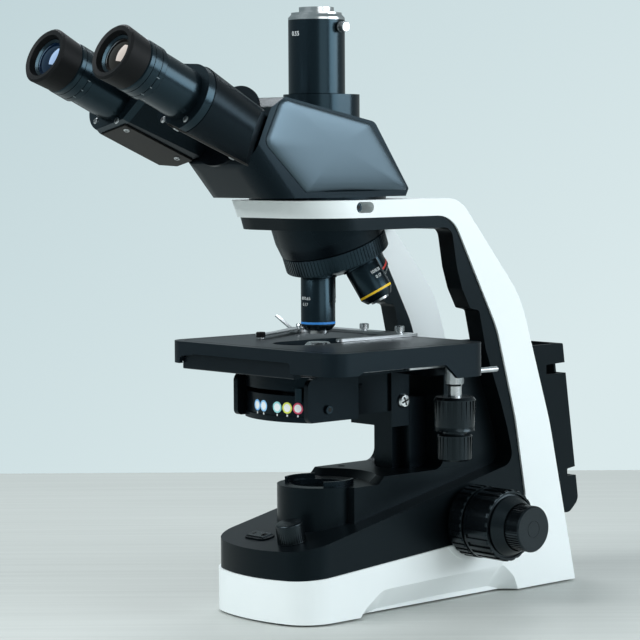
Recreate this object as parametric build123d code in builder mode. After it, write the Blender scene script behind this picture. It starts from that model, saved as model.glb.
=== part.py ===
from build123d import *
from math import cos, degrees, pi, radians, sin, tan, atan
import os

os.makedirs("parts", exist_ok=True)

# Lengths in mm, angles in degrees. Origin: optical axis on the bench, +Z up, -Y to the user.
flat_gap = 0.3        # clearance between pieces that move past each other
run_gap = 0.05        # radial running clearance of a shaft in its hole

# Stand
stand_half = 55.0     # half width of base, legs and arm
leg_inner = 38.0      # inner face of each leg, from the middle plane
arm_top = 301.5       # top of the white arm
arm_split = 288.9     # white above, black lining below
arm_under = 280.0     # underside of the arm
window_roof = 278.0   # roof of the carrying window
arm_front = -56.0     # front edge of the arm's top
arm_rake = 5.5        # set-back of the arm's front face at the split
lining_rake = 4.5     # further set-back at the arm's underside
arm_corner = 38.0     # plan radius of the arm's front corners
arm_joint = 45.0      # where the arm's nose block meets the side profile
lining_inset = 1.5    # black pieces lie this far inside the white sides
stub_top = 80.0       # seam between base skirt and legs
leg_seam = 188.0      # seam between base cover and arm lining
outer_a = (92.0, 301.5, 28.0)
outer_b = (158.0, 225.0, 90.0)
outer_c = (190.5, 127.0, 200.0)
outer_d = (220.0, 2.1)
inner_a = (84.5, 288.9, 25.0)
inner_b = (132.5, 202.0, 80.0)
inner_c = (152.6, 132.4, 150.0)
inner_d = (168.0, 49.5, 25.0)

# Base
foot_gap = 1.5        # rubber feet hold the base this far off the bench
skirt_z = 36.9        # height of the skirt's top edge at the optical axis
skirt_slope = 0.075   # its rise per mm of depth
nose_tip = -69.5      # front of the bow on the middle plane
nose_side = -57.0     # where the bow meets the sides
nose_fillet = 28.0
top_z = 66.7          # height of the cover's sloping top at the optical axis
top_slope = 0.215
cavity_half = 41.0
cavity_front = -44.0
cavity_back = outer_d[0] - 30.0
plate_t = 2.0         # bottom plate
foot_r = 9.0
foot_t = 3.5
front_foot = (27.0, -54.0)
rear_foot = (30.0, outer_d[0] - 17.0)
cover_wall = 4.0
inlet_z = 24.0        # power inlet in the rear wall
inlet_w = 28.0
inlet_h = 20.0
winder_half = 40.0
winder_wall = 2.5

# Lamp tower, deck and column of the base cover
tower_r = 31.0
tower_top = 93.0
deck_top = 98.5
deck_front = 30.0     # top of the step up to the deck
deck_arc = 42.0       # concave front of the deck, about the optical axis
deck_half = 38.5
column_front = 92.0
column_top = 173.0
column_fillet = 10.0
well_r = 23.0         # hole under the field lens
ring_r = 26.0         # filter ring
ring_in = 21.0
ring_t = 3.4          # its flange, flush with the tower
ring_wall = 4.0       # its two raised side walls
lens_seat = 80.0
lens_t = 4.0
lamp_r = 14.0

# Focus drive
focus_y = 103.0
focus_z = 60.5
coarse_shaft_r = 8.0
fine_shaft_r = 4.5
collar_r = 27.0
collar_x = 57.0
collar_t = 13.5
coarse_r = 26.5
coarse_x = 72.0
coarse_t = 24.0
fine_r = 17.0
fine_x = 97.5
fine_t = 21.5

# Controls on the nose
knob_at = (21.0, -45.5)
knob_r = 10.5
knob_h = 14.5
switch_at = (-14.0, -46.0)
switch_len = 26.0
switch_wid = 14.0
rocker_len = 18.0
rocker_wid = 9.5
rocker_gap = 0.5
rocker_well = 2.5     # depth of the pocket it tips into
bezel_t = 1.2

# Stage lift
post_half = 19.3
post_front = 74.3
post_top = 152.0
rail_half = 9.0
rail_front = 66.0
carrier_front = 55.6
carrier_bottom = 131.2
carrier_top = 172.0
carrier_left = 25.0
frame_top = 186.0
frame_t = 5.0
stage_screw_r = 5.2

# Stage plate
stage_top_z = 197.2
stage_half = 92.5
stage_front = -68.5
stage_back = 84.5
stage_corner = 15.0
stage_plate_t = 4.0
skirt_t = 3.0
stage_low = 181.0     # skirt edge at the front corners
stage_mid = 183.2     # skirt edge along the sides
stage_rear_low = 172.9
rail_x = 53.0
rail_w = 6.0
rod_x = 86.0          # guide rod out of the rear corner
rod_z = 176.2
rod_r = 2.0
rod_out = 14.0
drive_x = 74.0
drive_y = 67.0
drive_sleeve_r = 5.2
drive_shaft_r = 3.0
y_knob_r = 15.6
y_knob_z = (132.5, 157.3)
x_knob_r = 13.1
x_knob_z = (110.5, 130.0)
aperture_half = 19.0
aperture_y = (-38.0, 41.0)
holder_x = -26.0      # where the slide's middle stands at rest
holder_t = 2.0
holder_y = 80.0       # rear bar of the slide holder
slide_len = 76.0
finger_at = (-78.0, 52.0)

# Condenser
band_r = 70.0         # front of the body, a flat arc
band_front = -50.0
band_set = 1.5        # the label band lies this far back
cheek_in = 36.5
cheek_out = 41.0
cheek_front = -47.0
cheek_back = -35.5
neck_half = 17.0      # the condenser's arm
iris_ring_r = 30.0
lever_turn = 33.0     # where the iris lever stands, from the front towards +X
lever_reach = 53.2    # its tab lies outside the band
set_screw_at = (-24.0, 151.8)
cond_bottom = 143.0
cond_top = 175.7
band_top = 162.0
slot_top = 165.7
lens_r = 16.0
lens_top = 197.0      # just below the stage's top face

# Nosepiece: apex where the objective axes meet the optical axis
tilt = 21.0
apex_z = 309.0
turret_r = 39.0
turret_start = 40.8   # distances along the turret's axis, from the apex
turret_end = 53.6
housing_r = 41.0
pin_r = 6.0
nose_roof = 285.0     # roof of the recess in the arm that holds the housing
shoulder = 64.4       # objective shoulder, along the objective's axis
objective_r = 12.6
rms_r = 10.16         # radius of the objective thread, 20.32 mm
rms_len = 4.5

# Head
dovetail_r = 50.0
dovetail_t = 2.0
head_half = 40.0
head_corner = 20.0
collar_top = 377.6
collar_stadium_r = 24.5
photo_r = 20.6
photo_top = 431.3
adapter_h = 9.2
c_thread_r = 12.7     # 25.4 mm C-mount thread
c_thread_len = 4.0

# Eyepieces: inclined 25 degrees, t runs from the eyecup back along the axis
eye_tilt = 25.0
eye_x = 37.8
eye_y = -215.0
eye_z = 402.7
pivot_rise = 11.2     # the spindle lies this far above the eyepiece axes
cup_r = 20.0
tube_r = 17.9
wing_front = 66.0
wing_back = 137.0
wing_r = 25.5
wing_r_back = 22.0
wing_drop = 1.5       # the wing's round lies this far below the eyepiece axis
wing_drop_back = 3.2
barrel_r = 14.0
spindle_r = 5.0
wing_floor = -22.5    # flat underside at the front, from the eyepiece axis
wing_floor_back = -19.4
wing_cut = 1.0        # the rear chamfer starts this far outside the eyepiece axis
head_face = 138.5     # head's front face, along t
barrel_front = 71.5
barrel_mid = 103.7     # seam between the two hinge barrels
barrel_back = 135.9
fold_range = 34.1     # each wing folds down this far, 75.6 to 50 mm between the eyes
fold_gap = 0.6
cup_len = 14.0
lens_rim = 13.8
ring_begin = 18.3
ring_end = 34.0
ring_out = 19.2


def outline(*corners):
    """Closed profile from (a, b) or (a, b, fillet radius) corners, added to the open sketch."""
    with BuildLine(mode=Mode.PRIVATE) as path:
        FilletPolyline(
            *[(c[0], c[1]) for c in corners],
            radius=[c[2] if len(c) > 2 else 0 for c in corners],
            close=True,
        )
    make_face(path.line.edges())


def skirt_line(y):
    return skirt_z + skirt_slope * y


def top_line(y):
    return top_z + top_slope * y


def inner_line(z):
    """Depth of the white and black boundary on the legs at height z, between b and c."""
    (y1, z1, _), (y2, z2, _) = inner_b, inner_c
    return y1 + (y2 - y1) * (z1 - z) / (z1 - z2)


def lower_inner_line(z):
    (y1, z1, _), (y2, z2, _) = inner_c, inner_d
    return y1 + (y2 - y1) * (z1 - z) / (z1 - z2)


def outer_line(z):
    (y1, z1, _), (y2, z2) = outer_c, outer_d
    return y1 + (y2 - y1) * (z1 - z) / (z1 - z2)


def skirt_plan(inset):
    """Plan of the base, a rounded bow at the front, moved in by inset."""
    w, back = stand_half - inset, outer_line(foot_gap) + 8 - inset
    side, tip = nose_side + inset, nose_tip + inset
    with BuildLine(mode=Mode.PRIVATE) as path:
        Polyline((-w, side), (-w, back), (w, back), (w, side))
        ThreePointArc((w, side), (0, tip), (-w, side))
    make_face(path.line.edges())


def arm_plan(front, half):
    """Plan of the arm's front block with rounded corners."""
    outline(
        (-half, arm_joint), (-half, front, arm_corner), (half, front, arm_corner), (half, arm_joint)
    )


top_angle = degrees(atan(top_slope))
top_plane = Plane(
    origin=(0, 0, top_z), x_dir=(1, 0, 0), z_dir=(0, -sin(radians(top_angle)), cos(radians(top_angle)))
)


def on_top(x, y, lift=0.0):
    """Plane on the cover's sloping top over plan point (x, y)."""
    base = Plane(origin=(x, y, top_line(y)), x_dir=top_plane.x_dir, z_dir=top_plane.z_dir)
    return base.offset(lift)


# White arm and legs
with BuildPart() as arch_shell:
    with BuildSketch(Plane.XY.offset(arm_top)):
        arm_plan(arm_front, stand_half)
    with BuildSketch(Plane.XY.offset(arm_split)):
        arm_plan(arm_front + arm_rake, stand_half)
    loft(ruled=True)
    with BuildSketch(Plane.YZ):
        outline(
            (arm_joint, arm_top),
            outer_a,
            outer_b,
            outer_c,
            (outer_line(stub_top), stub_top),
            (lower_inner_line(stub_top), stub_top),
            inner_c,
            inner_b,
            inner_a,
            (arm_joint, arm_split),
        )
    extrude(amount=stand_half, both=True)
    with BuildSketch(Plane.YZ):
        outline(
            (inner_a[0] - 30, window_roof),
            (outer_b[0] + 60, window_roof),
            (outer_b[0] + 60, stub_top - 5),
            (inner_a[0] - 30, stub_top - 5),
        )
    extrude(amount=leg_inner, both=True, mode=Mode.SUBTRACT)
    # socket for the head's dovetail
    with Locations((0, 0, arm_top)):
        Cylinder(21 + flat_gap, 9, align=(Align.CENTER, Align.CENTER, Align.MAX), mode=Mode.SUBTRACT)
    # slot for the head's clamp screw
    with BuildSketch(Plane.YZ.offset(stand_half)):
        with Locations((-3.8, 296.3)):
            SlotOverall(17, 7.8)
    extrude(amount=-14, mode=Mode.SUBTRACT)
arch_shell.part.label = "arch_shell"

# White base skirt, with the two leg stubs and the side arches
with BuildPart() as base_shell:
    with BuildSketch(Plane.XY.offset(foot_gap)) as skirt_sketch:
        skirt_plan(0)
        fillet(skirt_sketch.vertices().group_by(Axis.Y)[0], nose_fillet)
    extrude(amount=stub_top - foot_gap)
    with BuildSketch(Plane.YZ):
        outline(
            (nose_tip - 5, foot_gap),
            (outer_line(foot_gap), foot_gap),
            (outer_line(stub_top), stub_top),
            (lower_inner_line(stub_top), stub_top),
            inner_d,
            (nose_tip - 5, skirt_line(nose_tip - 5)),
        )
    extrude(amount=stand_half, both=True, mode=Mode.INTERSECT)
    with BuildSketch(Plane.YZ):
        outline(
            (cavity_front, skirt_line(cavity_front)),
            (outer_line(stub_top) + 60, skirt_line(outer_line(stub_top) + 60)),
            (outer_line(stub_top) + 60, stub_top + 5),
            (cavity_front, stub_top + 5),
        )
    extrude(amount=leg_inner, both=True, mode=Mode.SUBTRACT)
    with BuildSketch(Plane.XY.offset(foot_gap)):
        with BuildLine():
            Polyline(
                (-cavity_half, cavity_front),
                (cavity_half, cavity_front),
                (cavity_half, cavity_back),
                (-cavity_half, cavity_back),
                close=True,
            )
        make_face()
    extrude(amount=skirt_line(cavity_back), mode=Mode.SUBTRACT)
    # arches along the two sides, falling inwards
    for side in (1, -1):
        with BuildSketch(Plane.YZ.offset(side * (stand_half + 1))):
            outline(
                (-13.0, -1.0), (-5.6, 8.0, 8), (12.0, 20.4, 18), (80.0, 22.3, 200),
                (139.5, 23.5, 8), (151.0, 13.0, 12), (156.5, -1.0),
            )
        with BuildSketch(Plane.YZ.offset(side * (stand_half - 11))):
            outline(
                (-4.0, -1.0), (4.0, 1.0, 6), (16.0, 3.5, 10), (80.0, 5.0, 200),
                (133.0, 5.0, 8), (143.0, 2.0, 8), (148.0, -1.0),
            )
        loft(ruled=True, mode=Mode.SUBTRACT)
    # raised ring round the focus axis
    with BuildSketch(Plane.YZ.offset(stand_half)) as boss_sketch:
        with Locations((focus_y, focus_z)):
            Circle(collar_r + 3)
        with BuildLine():
            Polyline(
                (0, skirt_line(0)), (200, skirt_line(200)), (200, 120), (0, 120), close=True
            )
        make_face(mode=Mode.SUBTRACT)
    extrude(amount=0.8)
    mirror(about=Plane.YZ)
    for x, y in (front_foot, rear_foot):
        with Locations((x, y, foot_t), (-x, y, foot_t)):
            Cylinder(foot_r, foot_t, align=(Align.CENTER, Align.CENTER, Align.MAX), mode=Mode.SUBTRACT)
    # pocket for the power inlet
    with BuildSketch(Plane.YZ):
        outline(
            (cavity_back, inlet_z - inlet_h / 2),
            (outer_line(0) + 5, inlet_z - inlet_h / 2),
            (outer_line(0) + 5, inlet_z + inlet_h / 2),
            (cavity_back, inlet_z + inlet_h / 2),
        )
    extrude(amount=inlet_w / 2, both=True, mode=Mode.SUBTRACT)
base_shell.part.label = "base_shell"

with BuildPart() as bottom_plate:
    with BuildSketch(Plane.XY.offset(foot_gap + plate_t)):
        with BuildLine():
            Polyline(
                (-cavity_half, cavity_front),
                (cavity_half, cavity_front),
                (cavity_half, cavity_back),
                (-cavity_half, cavity_back),
                close=True,
            )
        make_face()
    extrude(amount=plate_t)
bottom_plate.part.label = "bottom_plate"

with BuildPart() as rubber_feet:
    for x, y in (front_foot, rear_foot):
        with Locations((x, y, 0), (-x, y, 0)):
            Cylinder(foot_r, foot_t, align=(Align.CENTER, Align.CENTER, Align.MIN))
rubber_feet.part.label = "rubber_feet"

# Black cover: sloping body, lamp tower, deck, column and the fronts of the legs
leg_foot_y = 152.0
with BuildPart() as base_cover:
    with BuildSketch(Plane.XY.offset(20)) as cover_sketch:
        skirt_plan(lining_inset)
        fillet(cover_sketch.vertices().group_by(Axis.Y)[0], nose_fillet - lining_inset)
    extrude(amount=leg_seam - 20)
    with BuildSketch(Plane.YZ):
        outline(
            (nose_tip - 5, skirt_line(nose_tip - 5)),
            inner_d,
            inner_c,
            (inner_line(leg_seam), leg_seam),
            (120.9, leg_seam),
            (137.0, 148.0, 30),
            (144.8, 126.0, 30),
            (leg_foot_y, top_line(leg_foot_y), 10),
            (nose_tip - 5, top_line(nose_tip - 5)),
        )
    extrude(amount=stand_half, both=True, mode=Mode.INTERSECT)
    with BuildSketch(Plane.YZ):
        outline(
            (column_front, top_line(column_front)),
            (200, top_line(column_front)),
            (200, leg_seam + 5),
            (column_front, leg_seam + 5),
        )
    extrude(amount=leg_inner, both=True, mode=Mode.SUBTRACT)
    # column and deck
    with BuildSketch(Plane.YZ):
        outline(
            (0, top_line(0) - 10),
            (column_front, skirt_line(column_front)),
            (outer_line(52.5) - 4, skirt_line(outer_line(52.5) - 4)),
            (outer_line(column_top) - 12, column_top),
            (column_front, column_top, 6),
            (column_front, deck_top, column_fillet),
            (0, deck_top),
        )
    extrude(amount=leg_inner, both=True)
    with BuildSketch(Plane.XY.offset(top_line(deck_front) - 5)):
        Circle(tower_r)
        outline((-deck_half, 60), (deck_half, 60), (deck_half, 112), (-deck_half, 112))
        make_hull()
    extrude(amount=deck_top - top_line(deck_front) + 5)
    # cut the deck's front back to its slope and arc
    with BuildSketch(Plane.YZ):
        outline(
            (-40, tower_top),
            (deck_front - (deck_top - tower_top), tower_top),
            (deck_front, deck_top),
            (deck_front, deck_top + 5),
            (-40, deck_top + 5),
        )
    extrude(amount=stand_half, both=True, mode=Mode.SUBTRACT)
    with BuildSketch(Plane.XY.offset(tower_top)):
        Circle(deck_arc - (deck_top - tower_top))
    with BuildSketch(Plane.XY.offset(deck_top)):
        Circle(deck_arc)
    loft(mode=Mode.SUBTRACT)
    # lamp tower
    with BuildSketch(Plane.XY.offset(top_line(-tower_r) - 5)):
        Circle(tower_r)
        outline((-deck_half, 60), (deck_half, 60), (deck_half, 80), (-deck_half, 80))
        make_hull()
    extrude(amount=tower_top - top_line(-tower_r) + 5)
    for radius, depth in (
        (ring_r, ring_t), (well_r, tower_top - lens_seat), (well_r - 3, tower_top - skirt_line(0))
    ):
        with Locations((0, 0, tower_top)):
            Cylinder(
                radius, depth, align=(Align.CENTER, Align.CENTER, Align.MAX), mode=Mode.SUBTRACT
            )
    # hollow under the sloping top
    with BuildSketch(Plane.YZ):
        outline(
            (cavity_front, skirt_line(cavity_front) - 5),
            (column_front - 12, skirt_line(column_front) - 5),
            (column_front - 12, top_line(column_front - 12) - 14),
            (cavity_front, top_line(cavity_front) - cover_wall),
        )
    extrude(amount=leg_inner - 6, both=True, mode=Mode.SUBTRACT)
    # bearing for the coarse shaft and seat for the focus post
    with Locations((0, focus_y, focus_z)):
        Cylinder(
            coarse_shaft_r + run_gap, 2 * stand_half + 20, rotation=(0, 90, 0), mode=Mode.SUBTRACT
        )
    with BuildSketch(Plane.XY.offset(deck_top)):
        outline(
            (-post_half, post_front), (post_half, post_front), (post_half, column_front), (-post_half, column_front)
        )
    extrude(amount=post_top - deck_top, mode=Mode.SUBTRACT)
    # bezel round the power rocker
    with BuildSketch(on_top(*switch_at)):
        SlotOverall(switch_len, switch_wid)
        Rectangle(rocker_len + 2 * rocker_gap, rocker_wid + 2 * rocker_gap, mode=Mode.SUBTRACT)
    extrude(amount=bezel_t)
    with BuildSketch(on_top(*switch_at, bezel_t)):
        Rectangle(rocker_len + 2 * rocker_gap, rocker_wid + 2 * rocker_gap)
    extrude(amount=-bezel_t - rocker_well, mode=Mode.SUBTRACT)
    # vent hole on the deck
    with Locations((-27, 47, deck_top)):
        Cylinder(3, 8, align=(Align.CENTER, Align.CENTER, Align.MAX), mode=Mode.SUBTRACT)
base_cover.part.label = "base_cover"


def spin_plane(origin, axis):
    """Sketch plane for turned pieces: x is the radius and y runs along the axis."""
    along = Vector(*axis).normalized()
    side = Vector(1, 0, 0) if abs(along.X) < 0.9 else Vector(0, 1, 0)
    radial = (side - along * side.dot(along)).normalized()
    return Plane(origin=origin, x_dir=radial, z_dir=radial.cross(along))


def turned(origin, axis, *corners, mode=Mode.ADD):
    """Turns a profile of (radius, distance) corners about the axis through origin."""
    with BuildSketch(spin_plane(origin, axis), mode=Mode.PRIVATE) as profile:
        outline(*corners)
    revolve(profile.sketch, axis=Axis(origin, axis), mode=mode)


def rod(origin, axis, radius, start, end, mode=Mode.ADD):
    turned(origin, axis, (0, start), (radius, start), (radius, end), (0, end), mode=mode)


def ribbed(origin, axis, radius, start, end, count, depth, width):
    """Cuts grooves along a turned knob's rim."""
    along = Vector(*axis).normalized()
    plane = Plane(origin=Vector(*origin) + along * start, z_dir=along)
    with BuildSketch(plane, mode=Mode.PRIVATE) as grooves:
        with PolarLocations(radius, count):
            Rectangle(2 * depth, width)
    extrude(grooves.sketch, amount=end - start, dir=along, mode=Mode.SUBTRACT)


up = (0, 0, 1)
home = (0, 0, 0)

# Lamp under the field lens
with BuildPart() as filter_ring:
    turned(
        home, up,
        (ring_in, tower_top - ring_t), (ring_r, tower_top - ring_t),
        (ring_r, tower_top + ring_wall), (ring_r - 2, tower_top + ring_wall),
        (ring_r - 2, tower_top), (ring_in, tower_top),
    )
    with BuildSketch(Plane.XY.offset(tower_top)):
        for turn in (90, 270):
            with BuildLine(mode=Mode.PRIVATE) as sector:
                Polyline(
                    (0, 0),
                    (60 * cos(radians(turn - 55)), 60 * sin(radians(turn - 55))),
                    (90 * cos(radians(turn)), 90 * sin(radians(turn))),
                    (60 * cos(radians(turn + 55)), 60 * sin(radians(turn + 55))),
                    close=True,
                )
            make_face(sector.line.edges())
    extrude(amount=ring_wall + 1, mode=Mode.SUBTRACT)
filter_ring.part.label = "filter_ring"

with BuildPart() as field_lens:
    turned(
        home, up,
        (0, lens_seat), (well_r, lens_seat), (well_r, lens_seat + lens_t - 1), (0, lens_seat + lens_t),
    )
field_lens.part.label = "field_lens"

with BuildPart() as led_lamp:
    rod(home, up, lamp_r, foot_gap + 2 * plate_t, foot_gap + 2 * plate_t + 12)
    rod(home, up, lamp_r / 2, foot_gap + 2 * plate_t + 12, foot_gap + 2 * plate_t + 16)
    for step in range(4):
        turned(
            home, up,
            (lamp_r - 3, 7 + 2.6 * step), (lamp_r + 1, 7 + 2.6 * step),
            (lamp_r + 1, 8.2 + 2.6 * step), (lamp_r - 3, 8.2 + 2.6 * step),
            mode=Mode.SUBTRACT,
        )
led_lamp.part.label = "led_lamp"

# Power switch and brightness knob on the sloping nose
with BuildPart() as power_rocker:
    with BuildSketch(on_top(*switch_at, 0.4)):
        Rectangle(rocker_len, rocker_wid)
    extrude(amount=1.6, taper=6)
    with BuildSketch(on_top(*switch_at, 2.0)):
        with Locations((rocker_len / 3.2, 0)):
            Circle(1.4)
    extrude(amount=-0.5, mode=Mode.SUBTRACT)
power_rocker.part.label = "power_rocker"

knob_base = on_top(*knob_at)
with BuildPart() as brightness_knob:
    turned(
        knob_base.origin, knob_base.z_dir,
        (0, flat_gap), (knob_r, flat_gap), (knob_r - 0.6, knob_h, 1.2), (0, knob_h + 0.8),
    )
    ribbed(knob_base.origin, knob_base.z_dir, knob_r, 1.0, knob_h - 2.0, 36, 0.5, 1.0)
brightness_knob.part.label = "brightness_knob"

# Cord winder behind the legs, open at the top
winder_top = leg_seam - 2.5
winder_low = 52.5
notch_reach = 11.0    # the cord notches reach this far in from each side
heel = outer_d[0]     # the leg's foot, which the winder stands behind
with BuildPart() as cord_winder:
    with BuildSketch(Plane.YZ):
        outline(
            (outer_line(winder_low), winder_low),
            (outer_line(winder_top), winder_top),
            (heel + 2.0, winder_top, 1.5),
            (heel + 8.6, 140.0, 200),
            (heel + 20.5, 60.0, 8),
            (heel + 10.0, winder_low - 1.5, 8),
        )
    extrude(amount=winder_half, both=True)
    with BuildSketch(Plane.YZ):
        outline(
            (outer_line(winder_low) - 9, winder_low + winder_wall),
            (outer_line(winder_top) - 9, winder_top + 5),
            (heel + 2.0 - winder_wall, winder_top + 5),
            (heel + 8.6 - winder_wall, 140.0, 200),
            (heel + 19.9 - winder_wall, 62.0, 6),
            (heel + 12.0, winder_low + winder_wall, 6),
        )
    extrude(amount=winder_half - winder_wall, both=True, mode=Mode.SUBTRACT)
    # notches for the cord at the corners, near the top and the bottom
    for side in (1, -1):
        with BuildSketch(Plane.YZ.offset(side * (winder_half + 1))):
            outline((heel + 7.5, 80.0, 1), (heel + 40, 80.0), (heel + 40, 90.0), (heel + 7.5, 85.8, 1))
            outline((heel - 17.0, 162.0, 1), (heel + 40, 162.0), (heel + 40, 171.5), (heel - 17.0, 169.5, 1))
        extrude(amount=-side * notch_reach, mode=Mode.SUBTRACT)
cord_winder.part.label = "cord_winder"

with BuildPart() as power_inlet:
    with BuildSketch(Plane.YZ):
        outline(
            (cavity_back, inlet_z - inlet_h / 2),
            (outer_line(inlet_z - inlet_h / 2) - 1, inlet_z - inlet_h / 2),
            (outer_line(inlet_z + inlet_h / 2) - 1, inlet_z + inlet_h / 2),
            (cavity_back, inlet_z + inlet_h / 2),
        )
    extrude(amount=inlet_w / 2, both=True)
    with Locations((0, cavity_back + 8, inlet_z)):
        Box(
            inlet_w - 5, 40, inlet_h - 5,
            align=(Align.CENTER, Align.MIN, Align.CENTER), mode=Mode.SUBTRACT,
        )
    with Locations((-7, cavity_back + 8, inlet_z - 1), (0, cavity_back + 8, inlet_z + 2), (7, cavity_back + 8, inlet_z - 1)):
        Box(2, 11, 4, align=(Align.CENTER, Align.MIN, Align.CENTER))
power_inlet.part.label = "power_inlet"

# Focus drive
focus_at = (0, focus_y, focus_z)
along_x = (1, 0, 0)
with BuildPart() as tension_collar:
    turned(
        focus_at, along_x,
        (coarse_shaft_r + run_gap, collar_x), (collar_r - 1, collar_x), (collar_r, collar_x + 1),
        (collar_r, collar_x + collar_t - 1), (collar_r - 1, collar_x + collar_t),
        (coarse_shaft_r + run_gap, collar_x + collar_t),
    )
    ribbed(focus_at, along_x, collar_r, collar_x - 1, collar_x + collar_t + 1, 30, 0.8, 3.2)
tension_collar.part.label = "tension_collar"

# Right coarse knob with its hollow shaft; the left knob is pressed on the shaft's far end
shaft_end = coarse_x + 18
with BuildPart() as coarse_knob_right:
    turned(
        focus_at, along_x,
        (fine_shaft_r + run_gap, -shaft_end), (coarse_shaft_r, -shaft_end), (coarse_shaft_r, coarse_x), (coarse_r, coarse_x, 1.5), (coarse_r, coarse_x + coarse_t, 1.5),
        (coarse_r - 2.5, coarse_x + coarse_t), (coarse_r - 3.0, coarse_x + coarse_t - 1.5),
        (fine_r - 3.5, fine_x - 0.8), (fine_shaft_r + run_gap, fine_x - 0.8),
    )
    ribbed(focus_at, along_x, coarse_r, coarse_x + 3, coarse_x + coarse_t + 1, 24, 1.1, 3.6)
coarse_knob_right.part.label = "coarse_knob_right"

with BuildPart() as coarse_knob_left:
    turned(
        focus_at, along_x,
        (coarse_shaft_r, -coarse_x), (coarse_r, -coarse_x, 1.5), (coarse_r, -coarse_x - coarse_t, 1.5),
        (coarse_r - 2.5, -coarse_x - coarse_t), (coarse_r - 3.0, -coarse_x - coarse_t + 1.5),
        (fine_r - 3.5, -fine_x + 0.8), (fine_shaft_r + run_gap, -fine_x + 0.8),
        (fine_shaft_r + run_gap, -shaft_end), (coarse_shaft_r, -shaft_end),
    )
    ribbed(focus_at, along_x, coarse_r, -coarse_x - coarse_t - 1, -coarse_x - 3, 24, 1.1, 3.6)
coarse_knob_left.part.label = "coarse_knob_left"

# Right fine knob with its shaft, left fine knob pressed on
fine_end = fine_x + 4
with BuildPart() as fine_knob_right:
    turned(
        focus_at, along_x,
        (0, -fine_end), (fine_shaft_r, -fine_end), (fine_shaft_r, fine_x),
        (fine_r - 1.5, fine_x), (fine_r, fine_x + 1.5),
        (fine_r, fine_x + fine_t - 1), (fine_r - 1, fine_x + fine_t), (0, fine_x + fine_t),
    )
    ribbed(focus_at, along_x, fine_r, fine_x - 1, fine_x + fine_t - 1, 50, 0.6, 1.2)
    with BuildSketch(Plane.YZ.offset(fine_x + fine_t)):
        with Locations((focus_y, focus_z)):
            Circle(6.2)
            Circle(5.9, mode=Mode.SUBTRACT)
    extrude(amount=-0.4, mode=Mode.SUBTRACT)
fine_knob_right.part.label = "fine_knob_right"

with BuildPart() as fine_knob_left:
    turned(
        focus_at, along_x,
        (0, -fine_end), (fine_shaft_r, -fine_end), (fine_shaft_r, -fine_x),
        (fine_r - 1.5, -fine_x), (fine_r, -fine_x - 1.5),
        (fine_r, -fine_x - fine_t + 1), (fine_r - 1, -fine_x - fine_t), (0, -fine_x - fine_t),
    )
    ribbed(focus_at, along_x, fine_r, -fine_x - fine_t + 1, -fine_x + 1, 50, 0.6, 1.2)
fine_knob_left.part.label = "fine_knob_left"

# Fixed post and its rail for the stage
with BuildPart() as focus_post:
    with BuildSketch(Plane.XY.offset(deck_top)):
        outline((-post_half, post_front), (post_half, post_front), (post_half, column_front), (-post_half, column_front))
        outline((-rail_half, rail_front), (rail_half, rail_front), (rail_half, post_front), (-rail_half, post_front))
    extrude(amount=post_top - deck_top)
focus_post.part.label = "focus_post"

apex = (0, 0, apex_z)
turret_axis = (0, sin(radians(tilt)), -cos(radians(tilt)))

# Black lining under the arm and down the legs' fronts
lining_half = stand_half - lining_inset
with BuildPart() as arm_lining:
    with BuildSketch(Plane.XY.offset(arm_split)):
        arm_plan(arm_front + arm_rake + lining_inset, lining_half)
    with BuildSketch(Plane.XY.offset(arm_under)):
        arm_plan(arm_front + arm_rake + lining_rake, lining_half)
    loft(ruled=True)
    with BuildSketch(Plane.YZ):
        outline(
            (arm_joint, arm_split),
            inner_a,
            inner_b,
            (inner_line(leg_seam), leg_seam),
            (120.9, leg_seam),
            (119.8, 193.4),
            (114.0, 217.0, 3),
            (104.5, 219.0, 3),
            (96.0, 234.0, 12),
            (90.5, 250.0, 20),
            (85.0, arm_under, 9),
            (arm_joint, arm_under),
        )
    extrude(amount=lining_half, both=True)
    with BuildSketch(Plane.YZ):
        outline((arm_joint + 1, arm_under), (200, arm_under), (200, 150), (arm_joint + 1, 150))
    extrude(amount=leg_inner, both=True, mode=Mode.SUBTRACT)
    # recess that the tilted nosepiece turns in
    turned(apex, turret_axis, (0, 0), (housing_r, 0), (housing_r, 70), (0, 70), mode=Mode.SUBTRACT)
    with BuildSketch(Plane.XY.offset(nose_roof)):
        arm_plan(arm_front + 20, lining_half - 3)
    extrude(amount=arm_split - nose_roof)
arm_lining.part.label = "arm_lining"

# Nosepiece: fixed housing on the arm, tilted turret below it
with BuildPart() as nosepiece_housing:
    turned(
        apex, turret_axis,
        (0, 12), (housing_r, 12), (housing_r, turret_start - 10), (turret_r + 0.4, turret_start - flat_gap),
        (pin_r, turret_start - flat_gap), (pin_r, turret_end + 8), (0, turret_end + 8),
    )
    with Locations((0, 20, nose_roof)):
        Box(140, 140, 60, align=(Align.CENTER, Align.CENTER, Align.MIN), mode=Mode.SUBTRACT)
nosepiece_housing.part.label = "nosepiece_housing"

cone_drop = tan(radians(tilt))
cone_tip = shoulder / cos(radians(tilt))


def cone_at(radius):
    """Distance of the turret's lower cone from the apex at this radius."""
    return cone_tip - radius * cone_drop


positions = {"40": 0, "10": 90, "4": 180, "100": 270}


def objective_axis(turn):
    """Direction of the objective that stands turn degrees on from the working one."""
    a, b = radians(tilt), radians(turn)
    # about the turret's axis, starting from straight down
    side = sin(a) * sin(b)
    fall = -sin(a) * cos(b)
    return (
        side,
        cos(a) * sin(a) + fall * cos(a),
        -cos(a) * cos(a) + fall * sin(a),
    )


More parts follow.
